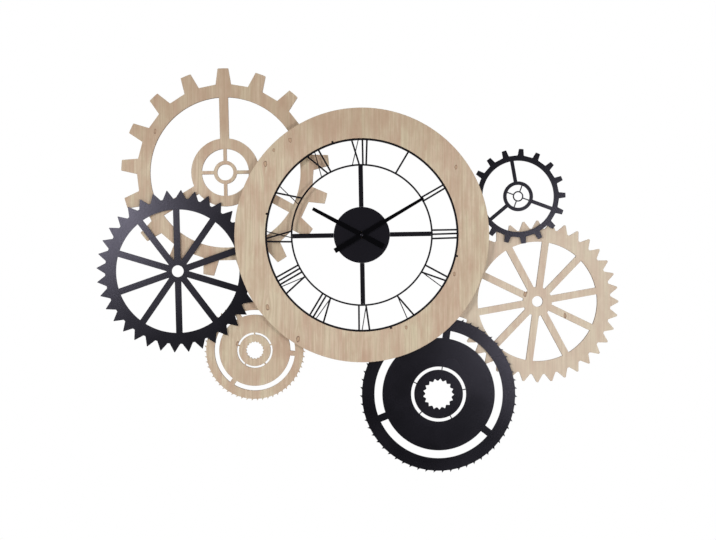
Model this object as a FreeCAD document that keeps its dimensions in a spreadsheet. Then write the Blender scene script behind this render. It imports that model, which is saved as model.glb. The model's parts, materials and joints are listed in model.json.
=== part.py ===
# Wooden gear clock: a wall clock whose wooden ring carries an open metal dial, six fixed
# decorative gears and, behind the centre disc, a quartz movement that drives the two hands.
# Millimetres. X points right and Z up for someone facing the clock, and Y points into the wall.
# The origin lies on the wall, midway between the keyholes that the clock hangs from.
import FreeCAD, Part
import Sketcher
import math
import os
import re

V = FreeCAD.Vector
doc = FreeCAD.newDocument("gear_clock")
sheet = doc.addObject("Spreadsheet::Sheet", "Sizes")
names = []
pieces = {}


def set_sizes(*rows):
    """Write each driving size, a name and a number, into its own row of the sheet."""
    for name, value in rows:
        names.append(name)
        row = len(names)
        sheet.set(f"A{row}", name)
        sheet.set(f"B{row}", str(value))
        sheet.setAlias(f"B{row}", name)


def bind(thing, path, formula):
    """Tie a property to a formula in which sizes are written by their bare names."""
    thing.setExpression(path, re.sub(r"\b[a-z]+(_[a-z]+)+\b", r"Sizes.\g<0>", formula))


def degrees(formula):
    return f"({formula}) * 1 deg"


# Drawing helpers. A piece is drawn flat, x to the right and y up as the viewer sees it, with its
# lift counted from the wall towards the viewer, and is then stood upright on the wall.
UPRIGHT = FreeCAD.Rotation(V(1, 0, 0), 90)
FULL_TURN = 360
START = 1.0


def new_piece(label, x="0", y="0", lift="0"):
    body = doc.addObject("PartDesign::Body", label)
    body.Label = label
    body.Placement = FreeCAD.Placement(V(0, 0, 0), UPRIGHT)
    bind(body, "Placement.Base.x", x)
    bind(body, "Placement.Base.y", f"-({lift})")
    bind(body, "Placement.Base.z", f"{y} - hang_rise")
    pieces[label] = body
    return body


def draw(body, name, x="0", y="0", lift="0", turn="0 deg", plane="XY_Plane"):
    """Start a sketch in one of the body's own planes, shifted and turned by formulas."""
    sketch = body.newObject("Sketcher::SketchObject", name)
    face = next(feature for feature in body.Origin.OriginFeatures if feature.Role == plane)
    sketch.AttachmentSupport = [(face, "")]
    sketch.MapMode = "FlatFace"
    bind(sketch, "AttachmentOffset.Base.x", x)
    bind(sketch, "AttachmentOffset.Base.y", y)
    bind(sketch, "AttachmentOffset.Base.z", lift)
    bind(sketch, "AttachmentOffset.Rotation.Angle", turn)
    return sketch


def hold(sketch, kind, places, formula):
    """Add a dimension whose value follows a formula."""
    index = sketch.addConstraint(Sketcher.Constraint(kind, *places, START))
    bind(sketch, f"Constraints[{index}]", formula)


def circle(sketch, radius, x=None):
    """A circle round the sketch's origin, or x along its first axis."""
    index = sketch.addGeometry(Part.Circle(V(0, 0, 0), V(0, 0, 1), START), False)
    if x is None:
        sketch.addConstraint(Sketcher.Constraint("Coincident", index, 3, -1, 1))
    else:
        sketch.addConstraint(Sketcher.Constraint("PointOnObject", index, 3, -1))
        hold(sketch, "DistanceX", (-1, 1, index, 3), x)
    hold(sketch, "Radius", (index,), radius)


def outline(sketch, corners):
    """A closed outline of straight lines through corners, each a pair of formulas."""
    count = len(corners)
    first = sketch.GeometryCount
    angles = [2 * math.pi * i / count for i in range(count)]
    starts = [V(math.cos(angle), math.sin(angle), 0) for angle in angles]
    for i in range(count):
        sketch.addGeometry(Part.LineSegment(starts[i], starts[(i + 1) % count]), False)
    for i in range(count):
        following = first + (i + 1) % count
        sketch.addConstraint(Sketcher.Constraint("Coincident", first + i, 2, following, 1))
    for i, (x, y) in enumerate(corners):
        hold(sketch, "DistanceX", (-1, 1, first + i, 1), x)
        hold(sketch, "DistanceY", (-1, 1, first + i, 1), y)


def rectangle(sketch, left, right, low, high):
    outline(sketch, [(left, low), (right, low), (right, high), (left, high)])


def regular_outline(sketch, sides, across, x="0"):
    """An outline of equal sides, given by the distance across its flats."""
    corner = f"({across}) / 2 / cos(180 / {sides})"
    turns = [FULL_TURN * i / sides for i in range(sides)]
    outline(sketch, [(f"{x} + {corner} * cos({a})", f"{corner} * sin({a})") for a in turns])


def pad(body, sketch, length):
    feature = body.newObject("PartDesign::Pad", f"{sketch.Name}_pad")
    feature.Profile = sketch
    bind(feature, "Length", length)
    return feature


def cut(body, sketch, depth=None):
    """Cut towards the viewer from the sketch's plane, right through unless a depth is given."""
    feature = body.newObject("PartDesign::Pocket", f"{sketch.Name}_cut")
    feature.Profile = sketch
    feature.Reversed = True
    if depth is None:
        feature.Type = "ThroughAll"
    else:
        bind(feature, "Length", depth)
    return feature


def repeat_round(body, feature, sketch, count):
    """Repeat a feature evenly round the axis through its sketch's origin."""
    pattern = body.newObject("PartDesign::PolarPattern", f"{sketch.Name}_round")
    pattern.Originals = [feature]
    pattern.Axis = (sketch, ["N_Axis"])
    pattern.Angle = FULL_TURN
    bind(pattern, "Occurrences", count)
    body.Tip = pattern


def beside_line(radius, width, turn):
    """The point at a radius from the origin, half a width to the left of a line turned from x."""
    along = f"sqrt(({radius}) ^ 2 - ({width}) ^ 2 / 4)"
    x = f"{along} * cos({turn}) - ({width}) / 2 * sin({turn})"
    y = f"{along} * sin({turn}) + ({width}) / 2 * cos({turn})"
    return x, y


# Sizes that the whole clock shares: the layers from the wall forward, the ring, the clearances.
set_sizes(
    ("hang_rise", 260.0),
    ("bumper_thickness", 3.0),
    ("wood_thickness", 9.0),
    ("link_block_length", 6.0),
    ("sheet_thickness", 2.0),
    ("short_block_length", 6.0),
    ("ring_thickness", 12.0),
    ("ring_outer_radius", 300.0),
    ("ring_inner_radius", 228.0),
    ("weld_gap", 0.1),
    ("fit_gap", 0.2),
    ("running_gap", 0.05),
)
sheet_lift = "(bumper_thickness + wood_thickness + link_block_length)"
ring_lift = f"({sheet_lift} + sheet_thickness + short_block_length)"
ring_width = "(ring_outer_radius - ring_inner_radius)"


# The wooden ring is the front layer. Four open notches in its inner edge take the dial's lugs.
set_sizes(
    ("lug_leg_width", 4.0),
    ("lug_leg_thickness", 3.5),
    ("lug_notch_gap", 0.3),
)
LUG_DIRECTIONS = (107.5, 167.5, 287.5, 347.5)

ring = new_piece("front_ring", lift=ring_lift)
board = draw(ring, "board")
circle(board, "ring_outer_radius")
circle(board, "ring_inner_radius")
pad(ring, board, "ring_thickness")
for direction in LUG_DIRECTIONS:
    notch = draw(ring, "lug_notch", turn=degrees(direction))
    rectangle(
        notch,
        "ring_inner_radius - lug_leg_thickness",
        "ring_inner_radius + lug_leg_thickness + lug_notch_gap",
        "-(lug_leg_width / 2 + lug_notch_gap)",
        "lug_leg_width / 2 + lug_notch_gap",
    )
    cut(ring, notch)


# The six decorative gears. Each is cut from one board or sheet: a hub, spokes, a rim and teeth.
# A gear's lap is how far it reaches in behind the ring, along the direction from the dial's centre.
set_sizes(
    ("large_cog_direction", 155.25),
    ("large_cog_lap", 190.4),
    ("large_cog_teeth", 17),
    ("large_cog_teeth_turn", 91.35),
    ("large_cog_tip_radius", 247.2),
    ("large_cog_root_radius", 209.7),
    ("large_cog_tip_width", 25.2),
    ("large_cog_base_width", 36.6),
    ("large_cog_rim_inner_radius", 178.6),
    ("large_cog_spokes", 3),
    ("large_cog_spoke_width", 21.4),
    ("large_cog_spoke_turn", 91.4),
    ("large_cog_hub_radius", 80.9),
    ("large_cog_hub_inner_radius", 55.9),
    ("large_cog_core_spokes", 4),
    ("large_cog_core_spoke_width", 8.1),
    ("large_cog_core_turn", 91.0),
    ("large_cog_core_radius", 27.5),
    ("large_cog_hole_radius", 19.1),
)
set_sizes(
    ("small_cog_direction", 13.94),
    ("small_cog_lap", 31.0),
    ("small_cog_teeth", 17),
    ("small_cog_teeth_turn", 86.2),
    ("small_cog_tip_radius", 112.5),
    ("small_cog_root_radius", 97.2),
    ("small_cog_tip_width", 10.9),
    ("small_cog_base_width", 14.9),
    ("small_cog_rim_inner_radius", 84.3),
    ("small_cog_spokes", 3),
    ("small_cog_spoke_width", 8.8),
    ("small_cog_spoke_turn", 100.0),
    ("small_cog_hub_radius", 35.5),
    ("small_cog_hub_inner_radius", 27.0),
    ("small_cog_core_spokes", 4),
    ("small_cog_core_spoke_width", 2.8),
    ("small_cog_core_turn", 70.0),
    ("small_cog_core_radius", 12.6),
    ("small_cog_hole_radius", 9.5),
)
set_sizes(
    ("black_wheel_direction", 191.09),
    ("black_wheel_lap", 48.5),
    ("black_wheel_teeth", 36),
    ("black_wheel_teeth_turn", 7.8),
    ("black_wheel_tip_radius", 192.5),
    ("black_wheel_root_radius", 172.4),
    ("black_wheel_tip_width", 1.2),
    ("black_wheel_base_width", 25.1),
    ("black_wheel_rim_inner_radius", 146.1),
    ("black_wheel_spokes", 10),
    ("black_wheel_spoke_width", 15.6),
    ("black_wheel_spoke_turn", 91.5),
    ("black_wheel_hub_radius", 26.8),
    ("black_wheel_hole_radius", 13.9),
)
set_sizes(
    ("wood_wheel_direction", 339.36),
    ("wood_wheel_lap", 46.1),
    ("wood_wheel_teeth", 36),
    ("wood_wheel_teeth_turn", 0.0),
    ("wood_wheel_tip_radius", 192.1),
    ("wood_wheel_root_radius", 173.4),
    ("wood_wheel_tip_width", 3.5),
    ("wood_wheel_base_width", 25.2),
    ("wood_wheel_rim_inner_radius", 142.0),
    ("wood_wheel_spokes", 10),
    ("wood_wheel_spoke_width", 16.3),
    ("wood_wheel_spoke_turn", 10.2),
    ("wood_wheel_hub_radius", 34.4),
    ("wood_wheel_hole_radius", 12.8),
)
set_sizes(
    ("black_disc_direction", 295.8),
    ("black_disc_lap", 68.4),
    ("black_disc_teeth", 59),
    ("black_disc_teeth_turn", 4.0),
    ("black_disc_tip_radius", 186.6),
    ("black_disc_root_radius", 181.6),
    ("black_disc_tooth_width", 5.0),
    ("black_disc_rim_inner_radius", 151.8),
    ("black_disc_bridges", 3),
    ("black_disc_bridge_width", 17.3),
    ("black_disc_bridge_turn", 82.5),
    ("black_disc_plate_radius", 133.3),
    ("black_disc_plate_inner_radius", 65.1),
    ("black_disc_ties", 5),
    ("black_disc_tie_width", 2.5),
    ("black_disc_tie_turn", 82.2),
    ("black_disc_core_radius", 57.8),
    ("black_disc_splines", 17),
    ("black_disc_spline_turn", 8.8),
    ("black_disc_spline_width", 10.6),
    ("black_disc_spline_radius", 36.9),
    ("black_disc_hole_radius", 31.6),
)
set_sizes(
    ("wood_disc_direction", 227.1),
    ("wood_disc_lap", 46.8),
    ("wood_disc_teeth", 59),
    ("wood_disc_teeth_turn", 4.1),
    ("wood_disc_tip_radius", 119.9),
    ("wood_disc_root_radius", 115.4),
    ("wood_disc_tooth_width", 3.8),
    ("wood_disc_rim_inner_radius", 95.7),
    ("wood_disc_bridges", 3),
    ("wood_disc_bridge_width", 11.9),
    ("wood_disc_bridge_turn", 115.5),
    ("wood_disc_plate_radius", 84.5),
    ("wood_disc_plate_inner_radius", 42.2),
    ("wood_disc_ties", 5),
    ("wood_disc_tie_width", 3.0),
    ("wood_disc_tie_turn", 91.3),
    ("wood_disc_core_radius", 37.5),
    ("wood_disc_splines", 17),
    ("wood_disc_spline_turn", 12.66),
    ("wood_disc_spline_width", 6.4),
    ("wood_disc_spline_radius", 21.8),
    ("wood_disc_hole_radius", 19.2),
)
set_sizes(("spline_sink", 1.0), ("spoke_sink", 3.0))
NOTCH_OVERRUN_SHARE = 0.15
back_gear_lift = "bumper_thickness"


def gear_centre(gear):
    """The gear's centre as seen from the dial's centre."""
    reach = f"(ring_outer_radius + {gear}_tip_radius - {gear}_lap)"
    return f"{reach} * cos({gear}_direction)", f"{reach} * sin({gear}_direction)"


def hoop(body, name, outer, inner, length):
    sketch = draw(body, name)
    circle(sketch, outer)
    if inner is not None:
        circle(sketch, inner)
    pad(body, sketch, length)


def add_spokes(body, name, count, width, turn, inner, outer, thickness):
    """Straight spokes whose ends sink a little into what they join."""
    sketch = draw(body, name, turn=degrees(turn))
    rectangle(sketch, f"{inner} - spoke_sink", f"{outer} + spoke_sink", f"-{width} / 2", f"{width} / 2")
    spoke = pad(body, sketch, thickness)
    repeat_round(body, spoke, sketch, count)


def cut_tooth_notches(body, gear):
    """Cut the gap between two teeth out of the rim and repeat it round the gear."""
    half = f"(180 / {gear}_teeth)"
    root_x, root_y = beside_line(f"{gear}_root_radius", f"{gear}_base_width", f"-{half}")
    tip_x, tip_y = beside_line(f"{gear}_tip_radius", f"{gear}_tip_width", f"-{half}")
    out_x = f"({tip_x} + (({tip_x}) - ({root_x})) * {NOTCH_OVERRUN_SHARE})"
    out_y = f"({tip_y} + (({tip_y}) - ({root_y})) * {NOTCH_OVERRUN_SHARE})"
    sketch = draw(body, "tooth_notch", turn=degrees(f"{gear}_teeth_turn + {half}"))
    corners = [(root_x, root_y), (out_x, out_y), (out_x, f"-{out_y}"), (root_x, f"-({root_y})")]
    outline(sketch, corners)
    repeat_round(body, cut(body, sketch), sketch, f"{gear}_teeth")


def cut_hooked_notches(body, gear):
    """Cut the gap behind a hooked tooth, whose front flank is radial and whose back slopes."""
    root_x, root_y = f"({gear}_root_radius)", f"({gear}_tooth_width)"
    out_x = f"({gear}_tip_radius + ({gear}_tip_radius - {root_x}) * {NOTCH_OVERRUN_SHARE})"
    out_y = f"(-{root_y} * {NOTCH_OVERRUN_SHARE})"
    pitch = f"(360 / {gear}_teeth)"
    sketch = draw(body, "tooth_notch", turn=degrees(f"{gear}_teeth_turn"))
    outline(sketch, [
        (root_x, root_y),
        (out_x, out_y),
        (f"{out_x} * cos({pitch})", f"{out_x} * sin({pitch})"),
        (f"{root_x} * cos({pitch})", f"{root_x} * sin({pitch})"),
    ])
    repeat_round(body, cut(body, sketch), sketch, f"{gear}_teeth")


def spoked_gear(label, gear, lift, thickness, has_core):
    """A toothed rim on straight spokes; the two cogs also have a spoked ring for a hub."""
    x, y = gear_centre(gear)
    body = new_piece(label, x, y, lift)
    if has_core:
        hoop(body, "core", f"{gear}_core_radius", None, thickness)
        add_spokes(body, "core_spoke", f"{gear}_core_spokes", f"{gear}_core_spoke_width",
                   f"{gear}_core_turn", f"{gear}_core_radius", f"{gear}_hub_inner_radius", thickness)
        hoop(body, "hub", f"{gear}_hub_radius", f"{gear}_hub_inner_radius", thickness)
    else:
        hoop(body, "hub", f"{gear}_hub_radius", None, thickness)
    add_spokes(body, "spoke", f"{gear}_spokes", f"{gear}_spoke_width", f"{gear}_spoke_turn",
               f"{gear}_hub_radius", f"{gear}_rim_inner_radius", thickness)
    hoop(body, "rim", f"{gear}_tip_radius", f"{gear}_rim_inner_radius", thickness)
    cut_tooth_notches(body, gear)
    hole = draw(body, "hole")
    circle(hole, f"{gear}_hole_radius")
    body.Tip = cut(body, hole)


def disc_gear(label, gear, lift, thickness):
    """A slotted disc with small hooked teeth and a splined hole."""
    x, y = gear_centre(gear)
    body = new_piece(label, x, y, lift)
    hoop(body, "core", f"{gear}_core_radius", f"{gear}_hole_radius", thickness)
    add_spokes(body, "tie", f"{gear}_ties", f"{gear}_tie_width", f"{gear}_tie_turn",
               f"{gear}_core_radius", f"{gear}_plate_inner_radius", thickness)
    hoop(body, "plate", f"{gear}_plate_radius", f"{gear}_plate_inner_radius", thickness)
    add_spokes(body, "bridge", f"{gear}_bridges", f"{gear}_bridge_width", f"{gear}_bridge_turn",
               f"{gear}_plate_radius", f"{gear}_rim_inner_radius", thickness)
    hoop(body, "rim", f"{gear}_tip_radius", f"{gear}_rim_inner_radius", thickness)
    cut_hooked_notches(body, gear)
    spline = draw(body, "spline", turn=degrees(f"{gear}_spline_turn + 180 / {gear}_splines"))
    low = f"{gear}_hole_radius - spline_sink"
    outline(spline, [(low, f"-{gear}_spline_width / 2"), (f"{gear}_spline_radius", "0"),
                     (low, f"{gear}_spline_width / 2")])
    repeat_round(body, cut(body, spline), spline, f"{gear}_splines")


spoked_gear("large_wood_cog", "large_cog", back_gear_lift, "wood_thickness", True)
spoked_gear("wood_spoked_wheel", "wood_wheel", back_gear_lift, "wood_thickness", False)
disc_gear("wood_disc_wheel", "wood_disc", back_gear_lift, "wood_thickness")
spoked_gear("black_spoked_wheel", "black_wheel", sheet_lift, "sheet_thickness", False)
spoked_gear("small_black_cog", "small_cog", sheet_lift, "sheet_thickness", True)
disc_gear("black_disc_wheel", "black_disc", sheet_lift, "sheet_thickness")
SHEET_GEARS = ("black_wheel", "small_cog", "black_disc")


# The dial is welded from strip and bar: two hoops of square bar, flat numerals and cross bars.
set_sizes(
    ("dial_turn", 1.0),
    ("dial_inset", 5.5),
    ("hoop_depth", 4.0),
    ("outer_hoop_thickness", 4.4),
    ("inner_hoop_radius", 167.4),
    ("inner_hoop_thickness", 4.0),
    ("strip_thickness", 2.0),
    ("thick_stroke_width", 4.2),
    ("thin_stroke_width", 2.3),
    ("cross_bar_width", 10.8),
    ("disc_radius", 66.2),
)
hoop_lift = f"({ring_lift} + dial_inset)"
strip_lift = f"({hoop_lift} + (hoop_depth - strip_thickness) / 2)"
strip_front = f"({strip_lift} + strip_thickness)"
outer_hoop_radius = "(ring_inner_radius - weld_gap)"
outer_hoop_inner = f"({outer_hoop_radius} - outer_hoop_thickness)"
inner_hoop_inner = "(inner_hoop_radius - inner_hoop_thickness)"

outer_hoop = new_piece("dial_outer_hoop", lift=hoop_lift)
hoop(outer_hoop, "bar", outer_hoop_radius, outer_hoop_inner, "hoop_depth")
inner_hoop = new_piece("dial_inner_hoop", lift=hoop_lift)
hoop(inner_hoop, "bar", "inner_hoop_radius", inner_hoop_inner, "hoop_depth")

# Each numeral stands upright along its own hour line, feet to the centre. A stroke is given by how
# many degrees it stands off that line at its outer end and at its inner end.
THICK, THIN = "thick_stroke_width", "thin_stroke_width"
NUMERAL_STROKES = {
    1: ((THICK, -0.25, 0.2),),
    2: ((THICK, -1.6, -2.1), (THICK, 0.6, 1.2)),
    3: ((THICK, -2.7, -3.9), (THICK, -0.1, -0.4), (THICK, 2.2, 2.9)),
    4: ((THIN, -3.9, -2.7), (THICK, 0.4, -2.7), (THICK, 2.9, 3.6)),
    5: ((THIN, -2.4, -0.7), (THICK, 2.0, -0.7)),
    6: ((THICK, -2.6, -3.3), (THIN, -0.7, 2.5), (THICK, 3.7, 2.5)),
    7: ((THICK, -4.0, -4.7), (THICK, -1.6, -1.4), (THIN, 0.4, 2.7), (THICK, 5.3, 2.7)),
    8: ((THICK, -4.6, -5.6), (THICK, -2.1, -2.6), (THICK, 0.3, 0.7), (THIN, 1.9, 5.2), (THICK, 6.8, 5.2)),
    9: ((THICK, 1.0, -3.9), (THIN, -3.0, 1.0), (THICK, 3.0, 4.5)),
    10: ((THICK, 2.7, -2.4), (THIN, -1.6, 3.0)),
    11: ((THICK, -4.0, -4.9), (THICK, 3.6, -1.9), (THIN, -1.3, 3.6)),
    12: ((THICK, -4.1, -4.6), (THICK, -1.4, -1.9), (THICK, 5.0, 1.2), (THIN, 1.2, 6.5)),
}
HOURS = len(NUMERAL_STROKES)

for hour, strokes in NUMERAL_STROKES.items():
    numeral = new_piece(f"numeral_{hour:02d}", lift=strip_lift)
    hour_line = f"90 - {hour} * 360 / {HOURS} + dial_turn"
    for width, outer_offset, inner_offset in strokes:
        stroke = draw(numeral, "stroke", turn=degrees(hour_line))
        corners = []
        for radius, offset, sides in (
            ("inner_hoop_radius + weld_gap", inner_offset, (-1, 1)),
            (f"{outer_hoop_inner} - weld_gap", outer_offset, (1, -1)),
        ):
            for side in sides:
                corners.append(beside_line(radius, f"({side} * {width})", offset))
        outline(stroke, corners)
        pad(numeral, stroke, "strip_thickness")

for place, quarter in (("right", 0), ("top", 1), ("left", 2), ("bottom", 3)):
    bar = new_piece(f"cross_bar_{place}", lift=strip_lift)
    strip = draw(bar, "strip", turn=degrees(f"{quarter} * 90 + dial_turn"))
    rectangle(strip, "disc_radius + weld_gap", f"{inner_hoop_inner} - 2 * weld_gap",
              "-cross_bar_width / 2", "cross_bar_width / 2")
    pad(bar, strip, "strip_thickness")


# The lugs are short angles welded to the outer hoop. Each passes back through its notch in the
# ring, and a screw holds its forked foot to the ring's back.
set_sizes(
    ("lug_foot_length", 16.0),
    ("lug_foot_width", 12.0),
    ("lug_foot_thickness", 1.5),
    ("lug_screw_shank_width", 3.0),
    ("lug_screw_length", 8.0),
    ("lug_screw_head_width", 5.5),
    ("lug_screw_head_height", 1.8),
)
lug_foot_lift = f"({ring_lift} - lug_foot_thickness)"
lug_screw_reach = "ring_inner_radius + lug_leg_thickness + (lug_foot_length - lug_leg_thickness) / 2"
lugs = new_piece("dial_lugs")
for direction in LUG_DIRECTIONS:
    leg = draw(lugs, "leg", lift=lug_foot_lift, turn=degrees(direction))
    rectangle(leg, "ring_inner_radius", "ring_inner_radius + lug_leg_thickness",
              "-lug_leg_width / 2", "lug_leg_width / 2")
    pad(lugs, leg, "lug_foot_thickness + dial_inset + hoop_depth")
    foot = draw(lugs, "foot", lift=lug_foot_lift, turn=degrees(direction))
    rectangle(foot, "ring_inner_radius", "ring_inner_radius + lug_foot_length",
              "-lug_foot_width / 2", "lug_foot_width / 2")
    pad(lugs, foot, "lug_foot_thickness")
    fork = draw(lugs, "screw_slot", lift=lug_foot_lift, turn=degrees(direction))
    half_slot = "(lug_screw_shank_width / 2 + fit_gap)"
    rectangle(fork, f"{lug_screw_reach} - {half_slot}", "ring_inner_radius + lug_foot_length",
              f"-{half_slot}", half_slot)
    cut(lugs, fork, "lug_foot_thickness")


SCREW_SIDES = 6


def add_screw(body, kind, head_front, x="0", y="0", turn="0 deg", reach="0"):
    """A screw put in from behind: its head lies at the back, its shank points at the viewer."""
    head = draw(body, "head", x, y, f"{head_front} - {kind}_head_height", turn)
    regular_outline(head, SCREW_SIDES, f"{kind}_head_width", reach)
    pad(body, head, f"{kind}_head_height")
    shank = draw(body, "shank", x, y, head_front, turn)
    regular_outline(shank, SCREW_SIDES, f"{kind}_shank_width", reach)
    pad(body, shank, f"{kind}_length")


lug_screws = new_piece("lug_screws")
for direction in LUG_DIRECTIONS:
    add_screw(lug_screws, "lug_screw", lug_foot_lift, turn=degrees(direction), reach=lug_screw_reach)


# Wooden blocks hold the gears off the ring and off each other. A block stands where a circle round
# one gear crosses a circle round the dial or round the next gear, square to the first gear's rim.
# Its shares say where those circles run between the inner and outer edges of ring and rims.
set_sizes(
    ("block_width", 12.0),
    ("small_block_width", 10.0),
    ("long_screw_head_width", 7.0),
    ("long_screw_head_height", 2.4),
    ("long_screw_shank_width", 4.0),
    ("short_screw_head_width", 7.0),
    ("short_screw_head_height", 2.4),
    ("short_screw_shank_width", 4.0),
    ("long_screw_length", 31.0),
    ("short_screw_length", 16.0),
)
RING_JOINT_SHARES = (
    ("large_cog", 1, 0.608, 0.708),
    ("large_cog", -1, 0.527, 0.231),
    ("wood_disc", 1, 0.503, 0.732),
    ("wood_disc", -1, 0.503, 0.606),
    ("wood_wheel", 1, 1.096, 0.828),
    ("wood_wheel", -1, 1.054, 0.814),
    ("black_wheel", 1, 0.92, 0.793),
    ("black_wheel", -1, 1.24, 0.84),
    ("black_disc", 1, 0.5, 0.726),
    ("black_disc", -1, 0.5, 0.757),
    ("small_cog", -1, 0.69, 0.839),
)
LINK_JOINT_SHARES = (
    ("large_cog", "black_wheel", -1, 0.5, 0.5),
    ("wood_disc", "black_wheel", 1, 0.5, 0.5),
    ("wood_wheel", "black_disc", 1, 0.5, 0.5),
    ("wood_wheel", "small_cog", -1, 0.803, 0.66),
)


def crossing(first_centre, first_radius, second_centre, second_radius, side):
    """Where to draw, and how far to turn, to put x = first_radius on the crossing of two circles."""
    (first_x, first_y), (second_x, second_y) = first_centre, second_centre
    away_x = f"(({second_x}) - ({first_x}))"
    away_y = f"(({second_y}) - ({first_y}))"
    apart = f"sqrt({away_x} ^ 2 + {away_y} ^ 2)"
    opening = f"({apart} ^ 2 + {first_radius} ^ 2 - {second_radius} ^ 2) / (2 * {apart} * {first_radius})"
    return {"x": first_x, "y": first_y, "turn": f"atan2({away_y}; {away_x}) + {side} * acos({opening})"}


def rim_circle(gear, share):
    return f"({gear}_rim_inner_radius + ({gear}_root_radius - {gear}_rim_inner_radius) * {share})"


def add_block(body, place, reach, width, lift, length):
    block = draw(body, "block", lift=lift, **place)
    rectangle(block, f"{reach} - {width} / 2", f"{reach} + {width} / 2", f"-{width} / 2", f"{width} / 2")
    pad(body, block, length)


tall_blocks = new_piece("tall_spacer_blocks")
short_blocks = new_piece("short_spacer_blocks")
link_blocks = new_piece("link_blocks")
long_screws = new_piece("long_screws")
short_screws = new_piece("short_screws")
back_gear_front = "(bumper_thickness + wood_thickness)"
sheet_front = f"({sheet_lift} + sheet_thickness)"

for gear, side, gear_share, ring_share in RING_JOINT_SHARES:
    reach = rim_circle(gear, gear_share)
    ring_circle = f"(ring_inner_radius + {ring_width} * {ring_share})"
    place = crossing(gear_centre(gear), reach, ("0", "0"), ring_circle, side)
    if gear in SHEET_GEARS:
        width = "small_block_width" if gear == "small_cog" else "block_width"
        add_block(short_blocks, place, reach, width, sheet_front, "short_block_length")
        add_screw(short_screws, "short_screw", sheet_lift, reach=reach, **place)
    else:
        add_block(tall_blocks, place, reach, "block_width", back_gear_front,
                  f"{ring_lift} - {back_gear_front}")
        add_screw(long_screws, "long_screw", back_gear_lift, reach=reach, **place)

for back_gear, front_gear, side, back_share, front_share in LINK_JOINT_SHARES:
    reach = rim_circle(back_gear, back_share)
    place = crossing(gear_centre(back_gear), reach, gear_centre(front_gear),
                     rim_circle(front_gear, front_share), side)
    width = "small_block_width" if front_gear == "small_cog" else "block_width"
    add_block(link_blocks, place, reach, width, back_gear_front, "link_block_length")


# Two steel hangers reach from the ring's back to the wall. The clock hangs by their keyholes, and
# screws hold their slotted flanges to the ring.
set_sizes(
    ("hanger_spacing", 90.0),
    ("hanger_width", 30.0),
    ("hanger_metal", 1.5),
    ("hanger_flange_height", 17.5),
    ("keyhole_rise", 14.0),
    ("keyhole_entry_radius", 4.5),
    ("keyhole_slot_radius", 2.25),
    ("keyhole_slot_length", 10.0),
    ("hanger_plate_height", 38.0),
    ("hanger_screw_spacing", 16.0),
    ("hanger_screw_shank_width", 3.5),
    ("hanger_screw_length", 9.0),
    ("hanger_screw_head_width", 6.0),
    ("hanger_screw_head_height", 2.0),
)
hanger_flange_lift = f"({ring_lift} - hanger_metal)"
hanger_web_top = "(hang_rise - keyhole_rise)"
hanger_web_low = f"({hanger_web_top} - hanger_metal)"
hanger_flange_low = f"({hanger_web_top} - hanger_flange_height)"
hanger_screw_rise = f"({hanger_web_low} + {hanger_flange_low}) / 2"
hangers = new_piece("hanger_brackets")
hanger_screws = new_piece("hanger_screws")
for side in (-1, 1):
    middle = f"{side} * hanger_spacing / 2"
    half_width = "hanger_width / 2"
    plate = draw(hangers, "wall_plate", x=middle)
    rectangle(plate, f"-{half_width}", half_width, hanger_web_low, f"{hanger_web_top} + hanger_plate_height")
    pad(hangers, plate, "hanger_metal")
    web = draw(hangers, "web", x=middle)
    rectangle(web, f"-{half_width}", half_width, hanger_web_low, hanger_web_top)
    pad(hangers, web, ring_lift)
    flange = draw(hangers, "flange", x=middle, lift=hanger_flange_lift)
    rectangle(flange, f"-{half_width}", half_width, hanger_flange_low, hanger_web_top)
    pad(hangers, flange, "hanger_metal")
    entry = draw(hangers, "keyhole_entry", x=middle, y="hang_rise")
    circle(entry, "keyhole_entry_radius")
    cut(hangers, entry, "hanger_metal")
    slot = draw(hangers, "keyhole_slot", x=middle, y="hang_rise")
    rectangle(slot, "-keyhole_slot_radius", "keyhole_slot_radius", "0", "keyhole_slot_length")
    cut(hangers, slot, "hanger_metal")
    slot_end = draw(hangers, "keyhole_slot_end", x=middle, y="hang_rise + keyhole_slot_length")
    circle(slot_end, "keyhole_slot_radius")
    cut(hangers, slot_end, "hanger_metal")
    for screw_side in (-1, 1):
        screw_x = f"{middle} + {screw_side} * hanger_screw_spacing / 2"
        fork = draw(hangers, "screw_slot", x=screw_x, lift=hanger_flange_lift)
        half_slot = "(hanger_screw_shank_width / 2 + fit_gap)"
        rectangle(fork, f"-{half_slot}", half_slot, hanger_flange_low, f"{hanger_screw_rise} + {half_slot}")
        cut(hangers, fork, "hanger_metal")
        add_screw(hanger_screws, "hanger_screw", hanger_flange_lift, x=screw_x, y=hanger_screw_rise)


# Square rubber bumpers on the backs of the wooden gears keep the clock parallel to the wall.
set_sizes(("bumper_width", 15.0))
BUMPER_DIRECTIONS = {"large_cog": (100, 215), "wood_disc": (250,), "wood_wheel": (285, 15)}
BUMPER_RIM_SHARE = 0.5
bumpers = new_piece("wall_bumpers")
for gear, directions in BUMPER_DIRECTIONS.items():
    x, y = gear_centre(gear)
    for direction in directions:
        place = {"x": x, "y": y, "turn": degrees(direction)}
        add_block(bumpers, place, rim_circle(gear, BUMPER_RIM_SHARE), "bumper_width", "0",
                  "bumper_thickness")


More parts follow.
